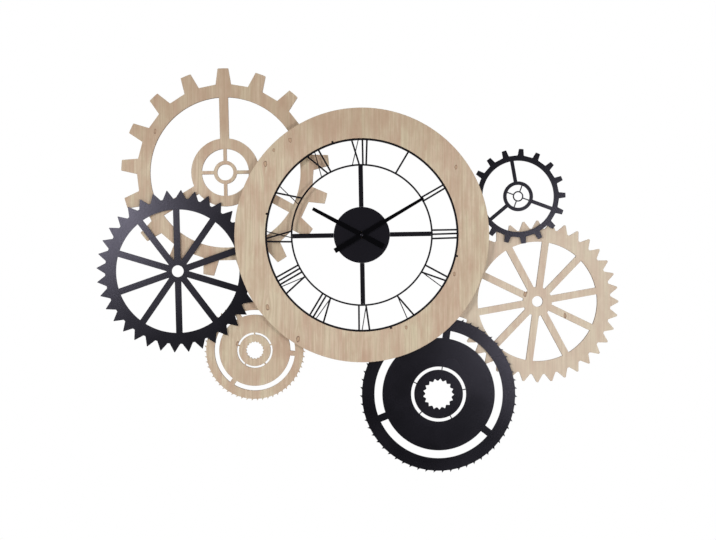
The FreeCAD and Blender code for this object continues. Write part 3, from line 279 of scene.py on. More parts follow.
def lime_fir(name, shift_mm, lime_share, knots_mm=()):
    """Limed fir with upright grain. A knot is given by its place right of and above the dial."""
    fir, surface = new_material(name, {"Specular IOR Level": 0.3, "IOR": 1.5})
    place = add_node(fir, "ShaderNodeTexCoord").outputs["Object"]

    uneven = add_node(fir, "ShaderNodeTexNoise", {"Scale": 1 / KNOT_WOBBLE, "Detail": 3.0},
                      {"Vector": place})
    uneven = add_node(fir, "ShaderNodeVectorMath", {"operation": "SUBTRACT", 1: NOISE_MIDDLE},
                      {0: uneven.outputs["Color"]})
    uneven = add_node(fir, "ShaderNodeVectorMath", {"operation": "SCALE", "Scale": KNOT_WOBBLE},
                      {0: uneven.outputs[0]})
    wobbled = add_node(fir, "ShaderNodeVectorMath", {"operation": "ADD"}, {0: place, 1: uneven.outputs[0]})
    knot_masks = []
    bent = place
    for right, up, radius in knots_mm:
        centre = dial_centre + Vector((right, 0, up)) * MM
        flat = add_node(fir, "ShaderNodeVectorMath", {"operation": "MULTIPLY", 1: (1, 0, KNOT_TALLNESS)},
                        {0: wobbled.outputs[0]})
        distance = add_node(fir, "ShaderNodeVectorMath",
                            {"operation": "DISTANCE", 1: (centre.x, 0, centre.z * KNOT_TALLNESS)},
                            {0: flat.outputs[0]})
        heart = add_node(fir, "ShaderNodeMapRange",
                         {"interpolation_type": "SMOOTHSTEP", "From Min": radius * MM,
                          "From Max": KNOT_CORE_SHARE * radius * MM}, {"Value": distance.outputs["Value"]})
        knot_masks.append(heart.outputs[0])
        swell = add_node(fir, "ShaderNodeMapRange",
                         {"interpolation_type": "SMOOTHSTEP", "From Min": SWELL_REACH * radius * MM,
                          "From Max": 0, "To Max": SWELL_PUSH * radius * MM},
                         {"Value": distance.outputs["Value"]})
        side = add_node(fir, "ShaderNodeVectorMath", {"operation": "SUBTRACT", 1: tuple(centre)},
                        {0: place})
        side = add_node(fir, "ShaderNodeSeparateXYZ", links={0: side.outputs[0]})
        side = add_node(fir, "ShaderNodeMath", {"operation": "SIGN"}, {0: side.outputs["X"]})
        push = add_node(fir, "ShaderNodeMath", {"operation": "MULTIPLY"},
                        {0: side.outputs[0], 1: swell.outputs[0]})
        push = add_node(fir, "ShaderNodeCombineXYZ", links={"X": push.outputs[0]})
        bent = add_node(fir, "ShaderNodeVectorMath", {"operation": "SUBTRACT"},
                        {0: bent, 1: push.outputs[0]}).outputs[0]

    shifted = add_node(fir, "ShaderNodeMapping", {"Location": (shift_mm * MM, 0, shift_mm * MM)},
                       {"Vector": bent})
    axes = add_node(fir, "ShaderNodeSeparateXYZ", links={0: shifted.outputs[0]})
    stave = add_node(fir, "ShaderNodeMath", {"operation": "DIVIDE", 1: STAVE_WIDTH}, {0: axes.outputs["X"]})
    stave = add_node(fir, "ShaderNodeMath", {"operation": "FLOOR"}, {0: stave.outputs[0]})
    stave = add_node(fir, "ShaderNodeTexWhiteNoise", {"noise_dimensions": "1D"}, {"W": stave.outputs[0]})
    lift = add_node(fir, "ShaderNodeVectorMath", {"operation": "SCALE", "Scale": STAVE_SHIFT},
                    {0: stave.outputs["Color"]})
    board = add_node(fir, "ShaderNodeVectorMath", {"operation": "ADD"},
                     {0: shifted.outputs[0], 1: lift.outputs[0]})

    along = add_node(fir, "ShaderNodeMapping",
                     {"Scale": (1 / GRAIN_WIDTH, 1 / GRAIN_WIDTH, 1 / GRAIN_LENGTH)},
                     {"Vector": board.outputs[0]})
    grain = add_node(fir, "ShaderNodeTexNoise",
                     {"Scale": 1.0, "Detail": 4.0, "Roughness": 0.62, "Distortion": 0.25},
                     {"Vector": along.outputs[0]})
    drift = add_node(fir, "ShaderNodeMapping",
                     {"Scale": (1 / CLOUD_WIDTH, 1 / CLOUD_WIDTH, 1 / CLOUD_LENGTH)},
                     {"Vector": board.outputs[0]})
    drift = add_node(fir, "ShaderNodeTexNoise", {"Scale": 1.0, "Detail": 4.0, "Roughness": 0.6},
                     {"Vector": drift.outputs[0]})
    drawn_up = add_node(fir, "ShaderNodeMapping", {"Scale": (1, 1, YEAR_RING_STRETCH)},
                        {"Vector": board.outputs[0]})
    years = add_node(fir, "ShaderNodeTexWave",
                     {"wave_type": "BANDS", "bands_direction": "X", "Scale": WAVE_PERIOD / YEAR_RING_WIDTH,
                      "Distortion": 5.5, "Detail": 2.0, "Detail Scale": 0.5, "Detail Roughness": 0.5},
                     {"Vector": drawn_up.outputs[0]})

    body = add_node(fir, "ShaderNodeValToRGB", links={"Fac": grain.outputs["Fac"]},
                    stops=((0.36, colour(FIR_DARK)), (0.62, colour(FIR_PALE))))
    streaks = add_node(fir, "ShaderNodeMapping",
                       {"Scale": (1 / STREAK_WIDTH, 1 / STREAK_WIDTH, 1 / STREAK_LENGTH)},
                       {"Vector": board.outputs[0]})
    streaks = add_node(fir, "ShaderNodeTexNoise", {"Scale": 1.0, "Detail": 2.0},
                       {"Vector": streaks.outputs[0]})
    streaks = add_node(fir, "ShaderNodeMapRange", {"From Min": 0.36, "From Max": 0.64},
                       {"Value": streaks.outputs["Fac"]})
    tint_share = add_node(fir, "ShaderNodeMix", {0: 0.55},
                          {2: stave.outputs["Value"], 3: streaks.outputs[0]})
    tint = add_node(fir, "ShaderNodeMix", {"data_type": "RGBA", 6: colour(FIR_PINK), 7: colour(FIR_GREEN)},
                    {"Factor": tint_share.outputs[0]})
    tinted = add_node(fir, "ShaderNodeMix", {"data_type": "RGBA", "Factor": 0.5},
                      {6: body.outputs[0], 7: tint.outputs[2]})
    drift_share = add_node(fir, "ShaderNodeMapRange", {"From Min": 0.4, "From Max": 0.72, "To Max": 0.9},
                           {"Value": drift.outputs["Fac"]})
    clouded = add_node(fir, "ShaderNodeMix", {"data_type": "RGBA", 7: colour(FIR_RUST)},
                       {"Factor": drift_share.outputs[0], 6: tinted.outputs[2]})
    year_share = add_node(fir, "ShaderNodeMapRange", {"From Min": 0.55, "From Max": 1.0, "To Max": 0.22},
                          {"Value": years.outputs["Fac"]})
    shade = add_node(fir, "ShaderNodeMix", {"data_type": "RGBA", 7: colour(FIR_YEAR_LINE)},
                     {"Factor": year_share.outputs[0], 6: clouded.outputs[2]}).outputs[2]
    shade = add_node(fir, "ShaderNodeMix",
                     {"data_type": "RGBA", "Factor": lime_share, 7: colour(LIME_WASH)},
                     {6: shade}).outputs[2]
    # The colour darkens towards the top of the clock. This is painted shade of light that falls off there,
    # laid by height across all the fir pieces.
    height = add_node(fir, "ShaderNodeSeparateXYZ", links={0: place})
    top_shade = add_node(fir, "ShaderNodeMapRange",
                     {"interpolation_type": "SMOOTHSTEP", "From Min": dial_centre.z + TOP_SHADE_STARTS,
                      "From Max": dial_centre.z + TOP_SHADE_FULL, "To Max": TOP_SHADE_SHARE},
                     {"Value": height.outputs["Z"]})
    shade = add_node(fir, "ShaderNodeMix", {"data_type": "RGBA", 7: colour(TOP_PAINTED_SHADE)},
                     {"Factor": top_shade.outputs[0], 6: shade}).outputs[2]
    for mask in knot_masks:
        knot = add_node(fir, "ShaderNodeValToRGB", links={"Fac": mask},
                        stops=((0.1, colour(KNOT_RIM)), (0.38, colour(KNOT_DARK)),
                               (0.8, colour(KNOT_HEART))))
        share = add_node(fir, "ShaderNodeMapRange", {"From Max": 0.3, "To Max": 0.9}, {"Value": mask})
        shade = add_node(fir, "ShaderNodeMix", {"data_type": "RGBA"},
                         {"Factor": share.outputs[0], 6: shade, 7: knot.outputs[0]}).outputs[2]

    facing = add_node(fir, "ShaderNodeNewGeometry").outputs["Normal"]
    facing = add_node(fir, "ShaderNodeSeparateXYZ", links={0: facing})
    facing = add_node(fir, "ShaderNodeMath", {"operation": "ABSOLUTE"}, {0: facing.outputs["Y"]})
    on_edge = add_node(fir, "ShaderNodeMapRange", {"From Min": 0.75, "From Max": 0.4},
                       {"Value": facing.outputs[0]})
    char = add_node(fir, "ShaderNodeMapping",
                    {"Scale": (1 / CHAR_WIDTH, 1 / CHAR_DEPTH, 1 / CHAR_WIDTH)}, {"Vector": place})
    char = add_node(fir, "ShaderNodeTexNoise", {"Scale": 1.0, "Detail": 3.0}, {"Vector": char.outputs[0]})
    char = add_node(fir, "ShaderNodeValToRGB", links={"Fac": char.outputs["Fac"]},
                    stops=((0.35, colour(SCORCHED_DARK)), (0.65, colour(SCORCHED_EDGE))))
    shade = add_node(fir, "ShaderNodeMix", {"data_type": "RGBA"},
                     {"Factor": on_edge.outputs[0], 6: shade, 7: char.outputs[0]}).outputs[2]

    dull = add_node(fir, "ShaderNodeMapRange", {"To Min": 0.58, "To Max": 0.74},
                    {"Value": grain.outputs["Fac"]})
    relief = add_node(fir, "ShaderNodeBump", {"Strength": 0.35, "Distance": 0.25 * MM},
                      {"Height": grain.outputs["Fac"]})
    connect(fir, surface, shade, dull, relief)
    return fir


RING_KNOTS_MM = ((-169, 223, 4), (-207, 199, 3), (-227, 167, 5), (-222, -170, 5), (-150, -246, 5),
                 (105, -218, 3.5), (222, 160, 3.5), (218, -92, 3.5))
for node, plain_name, shift_mm, lime_share, knots_mm in (
        ("front_ring", "ring", 0, 0.0, RING_KNOTS_MM),
        ("large_wood_cog", "large cog", 310, 0.0, ((-490, 247, 4),)),
        ("wood_spoked_wheel", "spoked wheel", 620, 0.28, ((483, -191, 4), (388, -139, 4.5))),
        ("wood_disc_wheel", "disc wheel", 930, 0.0, ((-294, -259, 5),))):
    dress(lime_fir("limed fir of the " + plain_name, shift_mm, lime_share, knots_mm), node,
          edge_mm=SANDED_EDGE_MM)


# The three black gears are laser-cut steel sheet with a satin powder coat. The coat has a fine
# orange-peel grain, and its highlights are tinted slightly blue and violet. Large clouds of a
# bluish-violet tone in its colour are painted sheen.
COAT_SHEEN = "E2DDF6"
SHEEN_CLOUD = 111.11 * MM
GLOSS_SWING = 0.07


def powder_coat(name, code, painted_sheen_code, roughness, grit_mm, gloss):
    """A baked powder coat on steel, finely pebbled, with clouds of painted sheen in its colour."""
    coat, surface = new_material(name, {"Specular IOR Level": gloss, "IOR": 1.5,
                                        "Specular Tint": colour(COAT_SHEEN)})
    place = add_node(coat, "ShaderNodeTexCoord").outputs["Object"]
    sheen_cloud = add_node(coat, "ShaderNodeTexNoise", {"Scale": 1 / SHEEN_CLOUD, "Detail": 3.0},
                     {"Vector": place})
    shade = add_node(coat, "ShaderNodeValToRGB", links={"Fac": sheen_cloud.outputs["Fac"]},
                     stops=((0.35, colour(code)), (0.75, colour(painted_sheen_code))))
    grit = add_node(coat, "ShaderNodeTexNoise", {"Scale": 1 / (grit_mm * MM), "Detail": 2.0},
                    {"Vector": place})
    dull = add_node(coat, "ShaderNodeMapRange",
                    {"To Min": roughness - GLOSS_SWING, "To Max": roughness + GLOSS_SWING},
                    {"Value": sheen_cloud.outputs["Fac"]})
    relief = add_node(coat, "ShaderNodeBump", {"Strength": 0.2, "Distance": 0.05 * MM},
                      {"Height": grit.outputs["Fac"]})
    connect(coat, surface, shade.outputs[0], dull, relief)
    return coat


# Each coat's second colour is its painted sheen, laid in large clouds.
satin_black = powder_coat("satin black powder coat on sheet steel", "060608", "0D0C11",
                          roughness=0.27, grit_mm=1.4, gloss=0.4)
SHEET_EDGE_MM = 0.3
dress(satin_black, "black_spoked_wheel", "small_black_cog", edge_mm=SHEET_EDGE_MM)
FINE_TOOTH_EDGE_MM = 0.08
dress(satin_black, "black_disc_wheel", edge_mm=FINE_TOOTH_EDGE_MM)


# The dial is welded from square bar and flat strip and coated black as one piece, a little duller
# than the gears.
wire_black = powder_coat("matt black powder coat on welded bar", "070607", "0C0B0C",
                         roughness=0.5, grit_mm=1.0, gloss=0.18)
numerals = [f"numeral_{hour:02d}" for hour in range(1, 13)]
cross_bars = [f"cross_bar_{end}" for end in ("right", "top", "left", "bottom")]
BAR_EDGE_MM = 0.25
dress(wire_black, "dial_outer_hoop", "dial_inner_hoop", "dial_lugs", *numerals, *cross_bars,
      edge_mm=BAR_EDGE_MM)
disc_black = powder_coat("matt black powder coat on the centre disc", "070609", "0D0B10",
                         roughness=0.5, grit_mm=1.2, gloss=0.18)
dress(disc_black, "centre_disc", edge_mm=BAR_EDGE_MM)


# The hands are pressed from thin steel and sprayed a deeper, flatter black. A small turned cap
# covers the end of the minute arbor.
hand_black = powder_coat("dead black spray on pressed steel", "020202", "050405",
                         roughness=0.65, grit_mm=0.8, gloss=0.06)
PRESSED_EDGE_MM = 0.15
dress(hand_black, "minute_hand", "hour_hand", edge_mm=PRESSED_EDGE_MM)
cap_black = powder_coat("satin black enamel on the turned cap", "0E0D0F", "141316",
                        roughness=0.3, grit_mm=0.6, gloss=0.3)
dress(cap_black, "hand_cap", edge_mm=PRESSED_EDGE_MM)


# Blocks of spruce offcut hold the layers apart, glued and screwed. They are sawn, not planed, so the
# blade has left fine ridges across a straight yellowish grain.
SPRUCE_PALE, SPRUCE_DARK = "D6B98C", "A98455"
SPRUCE_GRAIN = 3.5 * MM
SPRUCE_STRETCH = 0.08
SAW_MARK_PITCH = 1.8 * MM
SAWN_EDGE_MM = 0.5
spruce, surface = new_material("sawn spruce", {"Specular IOR Level": 0.3, "IOR": 1.5})
place = add_node(spruce, "ShaderNodeTexCoord").outputs["Object"]
along = add_node(spruce, "ShaderNodeMapping", {"Scale": (1, 1, SPRUCE_STRETCH)}, {"Vector": place})
bands = add_node(spruce, "ShaderNodeTexWave",
                 {"bands_direction": "X", "Scale": WAVE_PERIOD / SPRUCE_GRAIN, "Distortion": 4.0,
                  "Detail": 3.0},
                 {"Vector": along.outputs[0]})
shade = add_node(spruce, "ShaderNodeValToRGB", links={"Fac": bands.outputs["Fac"]},
                 stops=((0.25, colour(SPRUCE_PALE)), (0.95, colour(SPRUCE_DARK))))
saw_marks = add_node(spruce, "ShaderNodeTexWave",
                     {"bands_direction": "Z", "Scale": WAVE_PERIOD / SAW_MARK_PITCH, "Distortion": 1.5},
                     {"Vector": place})
dull = add_node(spruce, "ShaderNodeMapRange", {"To Min": 0.68, "To Max": 0.85},
                {"Value": bands.outputs["Fac"]})
relief = add_node(spruce, "ShaderNodeBump", {"Strength": 0.4, "Distance": 0.15 * MM},
                  {"Height": saw_marks.outputs["Fac"]})
connect(spruce, surface, shade.outputs[0], dull, relief)
dress(spruce, "tall_spacer_blocks", "short_spacer_blocks", "link_blocks", edge_mm=SAWN_EDGE_MM)


# Screws and hanger plates are of bright zinc-plated steel. The plating shows a faint crystal
# pattern, cool grey with a trace of blue, and dulls a little in patches.
ZINC_PALE, ZINC_BLUE = "C9CBCC", "A4ABB3"
ZINC_CRYSTAL = 2.2 * MM
ZINC_PATCH = 8.3333 * MM
zinc, surface = new_material("bright zinc plate on steel", {"Metallic": 1.0})
place = add_node(zinc, "ShaderNodeTexCoord").outputs["Object"]
crystals = add_node(zinc, "ShaderNodeTexVoronoi", {"Scale": 1 / ZINC_CRYSTAL}, {"Vector": place})
patches = add_node(zinc, "ShaderNodeTexNoise", {"Scale": 1 / ZINC_PATCH, "Detail": 4.0}, {"Vector": place})
crystal_tone = add_node(zinc, "ShaderNodeSeparateColor", links={0: crystals.outputs["Color"]})
shade = add_node(zinc, "ShaderNodeValToRGB", links={"Fac": crystal_tone.outputs[0]},
                 stops=((0.1, colour(ZINC_BLUE)), (0.9, colour(ZINC_PALE))))
dull = add_node(zinc, "ShaderNodeMapRange",
                {"From Min": 0.3, "From Max": 0.7, "To Min": 0.26, "To Max": 0.48},
                {"Value": patches.outputs["Fac"]})
relief = add_node(zinc, "ShaderNodeBump", {"Strength": 0.12, "Distance": 0.02 * MM},
                  {"Height": crystals.outputs["Distance"]})
connect(zinc, surface, shade.outputs[0], dull, relief)
dress(zinc, "hanger_brackets", edge_mm=SHEET_EDGE_MM)

# Every screw is a pan-head wood screw that goes in from behind. Its head is rounded and has a cross
# recess, left at whatever angle the driver stopped.
HEAD_REACH = 10 * MM
RECESS_SPAN_SHARE, RECESS_WIDTH_SHARE, RECESS_DEPTH_SHARE = 1.1, 0.24, 0.55
DRIVER_TURN = math.radians(37)


def join_cutters(cutters):
    """Join cutters into the first of them and return it."""
    for cutter in cutters:
        cutter.select_set(True)
    bpy.context.view_layer.objects.active = cutters[0]
    bpy.ops.object.join()
    return cutters[0]


def cut_out(piece, cutter):
    """Take a cutter's volume out of a piece, and drop the cutter."""
    cut = piece.modifiers.new("cut", "BOOLEAN")
    cut.operation = "DIFFERENCE"
    cut.solver = "EXACT"
    cut.use_self = True
    cut.object = cutter
    bpy.context.view_layer.objects.active = piece
    bpy.ops.object.modifier_apply(modifier=cut.name)
    bpy.data.objects.remove(cutter)
    bpy.ops.object.select_all(action="DESELECT")
    piece.select_set(True)
    bpy.ops.object.shade_smooth_by_angle(angle=SMOOTH)


def cut_recesses(piece, head_mm):
    """Cut a cross recess into each head of a group of screws. A head is given by its radius."""
    back = max(corner.co.y for corner in piece.data.vertices)
    heads = []
    for corner in piece.data.vertices:
        if corner.co.y < back - WELD:
            continue
        near = [head for head in heads if (head[0] - corner.co).length < HEAD_REACH]
        if near:
            near[0].append(corner.co.copy())
        else:
            heads.append([corner.co.copy()])
    bpy.ops.object.select_all(action="DESELECT")
    cutters = []
    for count, head in enumerate(heads):
        middle = sum(head, Vector()) / len(head)
        for bar_turn in (0, QUARTER_TURN):
            bpy.ops.mesh.primitive_cube_add(
                size=head_mm * MM, location=middle, rotation=(0, count * DRIVER_TURN + bar_turn, 0),
                scale=(RECESS_SPAN_SHARE, 2 * RECESS_DEPTH_SHARE, RECESS_WIDTH_SHARE))
            cutters.append(bpy.context.object)
    cut_out(piece, join_cutters(cutters))


for screws, head_mm, round_mm in (("long_screws", 4.0, 0.6), ("short_screws", 4.0, 0.6),
                                  ("hanger_screws", 3.5, 0.4), ("lug_screws", 3.2, 0.4)):
    piece = dressed_copy(screws)
    break_edges(piece, round_mm, segments=3)
    cut_recesses(piece, head_mm)
    piece.material_slots[0].material = zinc


# Square bumpers stick to the backs of the wooden gears, and a ring gasket sits between the movement
# and the centre disc. Both are cut from black sheet rubber, dull and slightly open in the grain.
RUBBER_BLACK, RUBBER_BLOOM = "1A1A1A", "2B2A29"
RUBBER_PORE = 0.9 * MM
RUBBER_PATCH = 6.25 * MM
DIE_CUT_EDGE_MM = 0.4
rubber, surface = new_material("die-cut sheet rubber", {"Specular IOR Level": 0.35, "IOR": 1.52})
place = add_node(rubber, "ShaderNodeTexCoord").outputs["Object"]
bloom = add_node(rubber, "ShaderNodeTexNoise", {"Scale": 1 / RUBBER_PATCH, "Detail": 4.0},
                 {"Vector": place})
pores = add_node(rubber, "ShaderNodeTexVoronoi", {"Scale": 1 / RUBBER_PORE}, {"Vector": place})
shade = add_node(rubber, "ShaderNodeValToRGB", links={"Fac": bloom.outputs["Fac"]},
                 stops=((0.4, colour(RUBBER_BLACK)), (0.75, colour(RUBBER_BLOOM))))
dull = add_node(rubber, "ShaderNodeMapRange", {"To Min": 0.72, "To Max": 0.92},
                {"Value": bloom.outputs["Fac"]})
relief = add_node(rubber, "ShaderNodeBump", {"Strength": 0.35, "Distance": 0.08 * MM},
                  {"Height": pores.outputs["Distance"]})
connect(rubber, surface, shade.outputs[0], dull, relief)
dress(rubber, "wall_bumpers", edge_mm=DIE_CUT_EDGE_MM)
dress(rubber, "movement_gasket")


# The movement's threaded bush, its washer and nut and the minute arbor are turned from brass bar, so
# they shine warm and carry fine rings round the dial's axis.
BRASS_PALE, BRASS_DEEP = "DDBB76", "B68F4C"
TOOL_MARK_PITCH = 0.5 * MM
TARNISH_PATCH = 3.8462 * MM
TURNED_EDGE_MM = 0.3
brass, surface = new_material("turned brass", {"Metallic": 1.0})
place = add_node(brass, "ShaderNodeTexCoord").outputs["Object"]
centred = add_node(brass, "ShaderNodeVectorMath", {"operation": "SUBTRACT", 1: tuple(dial_centre)},
                   {0: place})
tool_marks = add_node(brass, "ShaderNodeTexWave",
                      {"wave_type": "RINGS", "rings_direction": "Y",
                       "Scale": WAVE_PERIOD / TOOL_MARK_PITCH, "Distortion": 0.6},
                      {"Vector": centred.outputs[0]})
tarnish = add_node(brass, "ShaderNodeTexNoise", {"Scale": 1 / TARNISH_PATCH, "Detail": 3.0},
                   {"Vector": place})
shade = add_node(brass, "ShaderNodeValToRGB", links={"Fac": tarnish.outputs["Fac"]},
                 stops=((0.35, colour(BRASS_DEEP)), (0.7, colour(BRASS_PALE))))
dull = add_node(brass, "ShaderNodeMapRange", {"To Min": 0.22, "To Max": 0.38},
                {"Value": tarnish.outputs["Fac"]})
relief = add_node(brass, "ShaderNodeBump", {"Strength": 0.15, "Distance": 0.02 * MM},
                  {"Height": tool_marks.outputs["Fac"]})
connect(brass, surface, shade.outputs[0], dull, relief)
dress(brass, "hex_nut", "threaded_bush", edge_mm=TURNED_EDGE_MM)
dress(brass, "washer", "minute_arbor")


# Inside the movement the wheels, the setting knob and the drive unit are moulded from natural
# acetal: milky white, waxy and smooth, with faint flow marks.
ACETAL_WHITE, ACETAL_SHADE = "EFEEE8", "DFDDD3"
FLOW_MARK = 4.5455 * MM
acetal, surface = new_material("moulded white acetal", {"IOR": 1.48, "Specular IOR Level": 0.45})
place = add_node(acetal, "ShaderNodeTexCoord").outputs["Object"]
flow = add_node(acetal, "ShaderNodeTexNoise",
                {"Scale": 1 / FLOW_MARK, "Detail": 2.0, "Distortion": 1.2}, {"Vector": place})
shade = add_node(acetal, "ShaderNodeValToRGB", links={"Fac": flow.outputs["Fac"]},
                 stops=((0.35, colour(ACETAL_SHADE)), (0.6, colour(ACETAL_WHITE))))
dull = add_node(acetal, "ShaderNodeMapRange", {"To Min": 0.3, "To Max": 0.46},
                {"Value": flow.outputs["Fac"]})
relief = add_node(acetal, "ShaderNodeBump", {"Strength": 0.08, "Distance": 0.05 * MM},
                  {"Height": flow.outputs["Fac"]})
connect(acetal, surface, shade.outputs[0], dull, relief)
dress(acetal, "reduction_wheel", "hour_wheel", "drive_unit")

# The knob at the back that sets the hands is fluted round its rim so that a fingertip holds it. Its
# edges stay crisp, since the teeth of its pinion are too fine for a chamfer.
FLUTES = 24
FLUTE_SIDES = 12
FLUTE_RADIUS = 0.55 * MM
KNOB_RIM_DEPTH = 4.3 * MM
knob = dressed_copy("setting_knob")
knob_low, knob_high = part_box("setting_knob")
knob_middle = (knob_low + knob_high) / 2
knob_radius = (knob_high.x - knob_low.x) / 2
bpy.ops.object.select_all(action="DESELECT")
flutes = []
for count in range(FLUTES):
    turn = 2 * math.pi * count / FLUTES
    rim = Vector((math.cos(turn) * knob_radius, knob_high.y - knob_middle.y - KNOB_RIM_DEPTH / 2,
                  math.sin(turn) * knob_radius))
    bpy.ops.mesh.primitive_cylinder_add(vertices=FLUTE_SIDES, radius=FLUTE_RADIUS, depth=2 * KNOB_RIM_DEPTH,
                                        location=knob_middle + rim, rotation=(QUARTER_TURN, 0, 0))
    flutes.append(bpy.context.object)
cut_out(knob, join_cutters(flutes))
knob.material_slots[0].material = acetal


# The movement's case and its back cover are injection-moulded black ABS. The mould was
# spark-eroded, which gives a fine even grain and a soft low gloss.
ABS_BLACK, ABS_GREY = "111112", "19191A"
SPARK_GRAIN = 0.7 * MM
MELT_PATCH = 16.667 * MM
MOULDED_EDGE_MM = 0.3
abs_plastic, surface = new_material("spark-grained black ABS", {"IOR": 1.53, "Specular IOR Level": 0.45})
place = add_node(abs_plastic, "ShaderNodeTexCoord").outputs["Object"]
sparks = add_node(abs_plastic, "ShaderNodeTexVoronoi", {"Scale": 1 / SPARK_GRAIN, "Randomness": 1.0},
                  {"Vector": place})
melt = add_node(abs_plastic, "ShaderNodeTexNoise", {"Scale": 1 / MELT_PATCH, "Detail": 3.0},
                {"Vector": place})
shade = add_node(abs_plastic, "ShaderNodeValToRGB", links={"Fac": melt.outputs["Fac"]},
                 stops=((0.35, colour(ABS_BLACK)), (0.7, colour(ABS_GREY))))
dull = add_node(abs_plastic, "ShaderNodeMapRange", {"To Min": 0.42, "To Max": 0.58},
                {"Value": melt.outputs["Fac"]})
relief = add_node(abs_plastic, "ShaderNodeBump", {"Strength": 0.3, "Distance": 0.05 * MM},
                  {"Height": sparks.outputs["Distance"]})
connect(abs_plastic, surface, shade.outputs[0], dull, relief)
dress(abs_plastic, "movement_case", "back_cover", edge_mm=MOULDED_EDGE_MM)


# The motor's stator is a stack of punched silicon steel, and the battery contacts are nickelled
# spring strip. Both keep the fine lengthwise lines of the rolling mill.
STRIP_PALE, STRIP_GREY = "C8C6C1", "9B9A98"
MILL_LINE = 0.6 * MM
MILL_STRETCH = 0.05
strip, surface = new_material("rolled nickelled steel strip", {"Metallic": 1.0})
place = add_node(strip, "ShaderNodeTexCoord").outputs["Object"]
drawn_out = add_node(strip, "ShaderNodeMapping", {"Scale": (MILL_STRETCH, 1, 1)}, {"Vector": place})
mill_lines = add_node(strip, "ShaderNodeTexNoise", {"Scale": 1 / MILL_LINE, "Detail": 3.0},
                      {"Vector": drawn_out.outputs[0]})
shade = add_node(strip, "ShaderNodeValToRGB", links={"Fac": mill_lines.outputs["Fac"]},
                 stops=((0.3, colour(STRIP_GREY)), (0.7, colour(STRIP_PALE))))
dull = add_node(strip, "ShaderNodeMapRange", {"To Min": 0.24, "To Max": 0.44},
                {"Value": mill_lines.outputs["Fac"]})
relief = add_node(strip, "ShaderNodeBump", {"Strength": 0.1, "Distance": 0.02 * MM},
                  {"Height": mill_lines.outputs["Fac"]})
connect(strip, surface, shade.outputs[0], dull, relief)
dress(strip, "motor_stator", "battery_contacts")


# The motor's coil is wound from enamelled copper wire, red-brown and glossy. The wire is 0.1 mm
# thick, and its turns are drawn five times as coarse so that they show.
COPPER_PALE, COPPER_GROOVE_SHADE = "D98A5B", "9C4F2B"
TURN_PITCH = 0.5 * MM
copper, surface = new_material("enamelled copper winding", {"Metallic": 1.0, "Coat Weight": 0.4})
place = add_node(copper, "ShaderNodeTexCoord").outputs["Object"]
turns = add_node(copper, "ShaderNodeTexWave",
                 {"bands_direction": "X", "Scale": WAVE_PERIOD / TURN_PITCH, "Distortion": 0.4},
                 {"Vector": place})
# The copper is drawn deeper in the grooves between the turns, where the relief dips. This is painted shade.
shade = add_node(copper, "ShaderNodeValToRGB", links={"Fac": turns.outputs["Fac"]},
                 stops=((0.1, colour(COPPER_GROOVE_SHADE)), (0.8, colour(COPPER_PALE))))
dull = add_node(copper, "ShaderNodeMapRange", {"To Min": 0.38, "To Max": 0.24},
                {"Value": turns.outputs["Fac"]})
relief = add_node(copper, "ShaderNodeBump", {"Strength": 0.6, "Distance": 0.2 * MM},
                  {"Height": turns.outputs["Fac"]})
connect(copper, surface, shade.outputs[0], dull, relief)
dress(copper, "motor_coil")


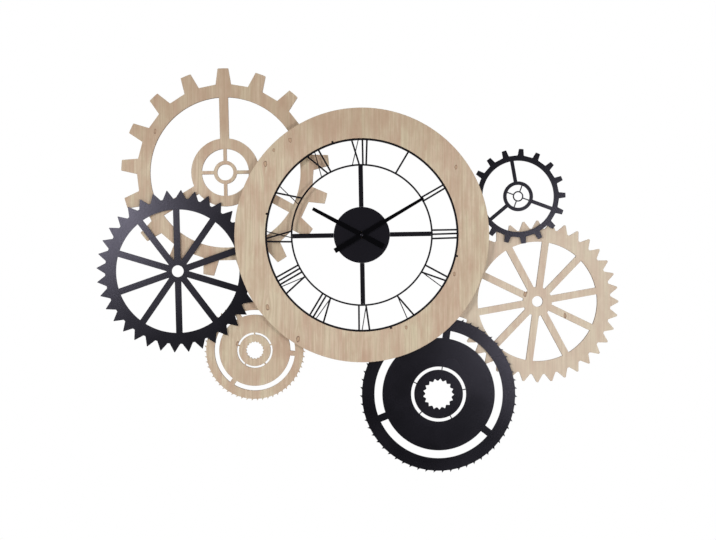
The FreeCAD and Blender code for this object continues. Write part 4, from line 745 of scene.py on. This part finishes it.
# The circuit board is glass laminate under green solder mask. Its copper tracks show through the
# mask as paler strips.
MASK_GREEN, TRACK_GREEN = "1C4F33", "2F7A4B"
TRACK_PITCH, TRACK_LENGTH, TRACK_WIDTH = 2.4 * MM, 7.2 * MM, 0.3 * MM
GLASS_WEAVE = 2 * MM
laminate, surface = new_material("green mask on glass laminate", {"IOR": 1.52, "Coat Weight": 0.3})
place = add_node(laminate, "ShaderNodeTexCoord").outputs["Object"]
turned = add_node(laminate, "ShaderNodeMapping", {"Rotation": (QUARTER_TURN, 0, 0)}, {"Vector": place})
tracks = add_node(laminate, "ShaderNodeTexBrick",
                  {"Scale": 1.0, "Mortar Size": TRACK_WIDTH, "Brick Width": TRACK_LENGTH,
                   "Row Height": TRACK_PITCH, "Color1": colour(MASK_GREEN), "Color2": colour(MASK_GREEN),
                   "Mortar": colour(TRACK_GREEN)},
                  {"Vector": turned.outputs[0]})
weave = add_node(laminate, "ShaderNodeTexNoise", {"Scale": 1 / GLASS_WEAVE, "Detail": 2.0},
                 {"Vector": place})
dull = add_node(laminate, "ShaderNodeMapRange", {"To Min": 0.25, "To Max": 0.42},
                {"Value": weave.outputs["Fac"]})
relief = add_node(laminate, "ShaderNodeBump", {"Strength": 0.4, "Distance": 0.05 * MM},
                  {"Height": tracks.outputs["Fac"]})
connect(laminate, surface, tracks.outputs["Color"], dull, relief)
dress(laminate, "circuit_board")


# The cell is a steel can in a plain glossy shrink film, blue-grey along the body with a pale band at
# the positive end. Handling has left faint scuffs on it.
FILM_BLUE, FILM_PALE = "32506B", "C9CCCE"
PALE_BAND_SHARE = 0.22
SCUFF = 5.5556 * MM
CAN_EDGE_MM = 0.3
cell_low, cell_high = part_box("battery")
film, surface = new_material("plain shrink film on the cell", {"IOR": 1.5, "Coat Weight": 0.5})
place = add_node(film, "ShaderNodeTexCoord").outputs["Object"]
band_edge = cell_high.x - PALE_BAND_SHARE * (cell_high.x - cell_low.x)
axes = add_node(film, "ShaderNodeSeparateXYZ", links={0: place})
banded = add_node(film, "ShaderNodeMath", {"operation": "GREATER_THAN", 1: band_edge},
                  {0: axes.outputs["X"]})
shade = add_node(film, "ShaderNodeMix",
                 {"data_type": "RGBA", 6: colour(FILM_BLUE), 7: colour(FILM_PALE)},
                 {"Factor": banded.outputs[0]})
scuffs = add_node(film, "ShaderNodeTexNoise", {"Scale": 1 / SCUFF, "Detail": 4.0}, {"Vector": place})
dull = add_node(film, "ShaderNodeMapRange", {"To Min": 0.2, "To Max": 0.4},
                {"Value": scuffs.outputs["Fac"]})
relief = add_node(film, "ShaderNodeBump", {"Strength": 0.1, "Distance": 0.05 * MM},
                  {"Height": scuffs.outputs["Fac"]})
connect(film, surface, shade.outputs[2], dull, relief)
dress(film, "battery", edge_mm=CAN_EDGE_MM)
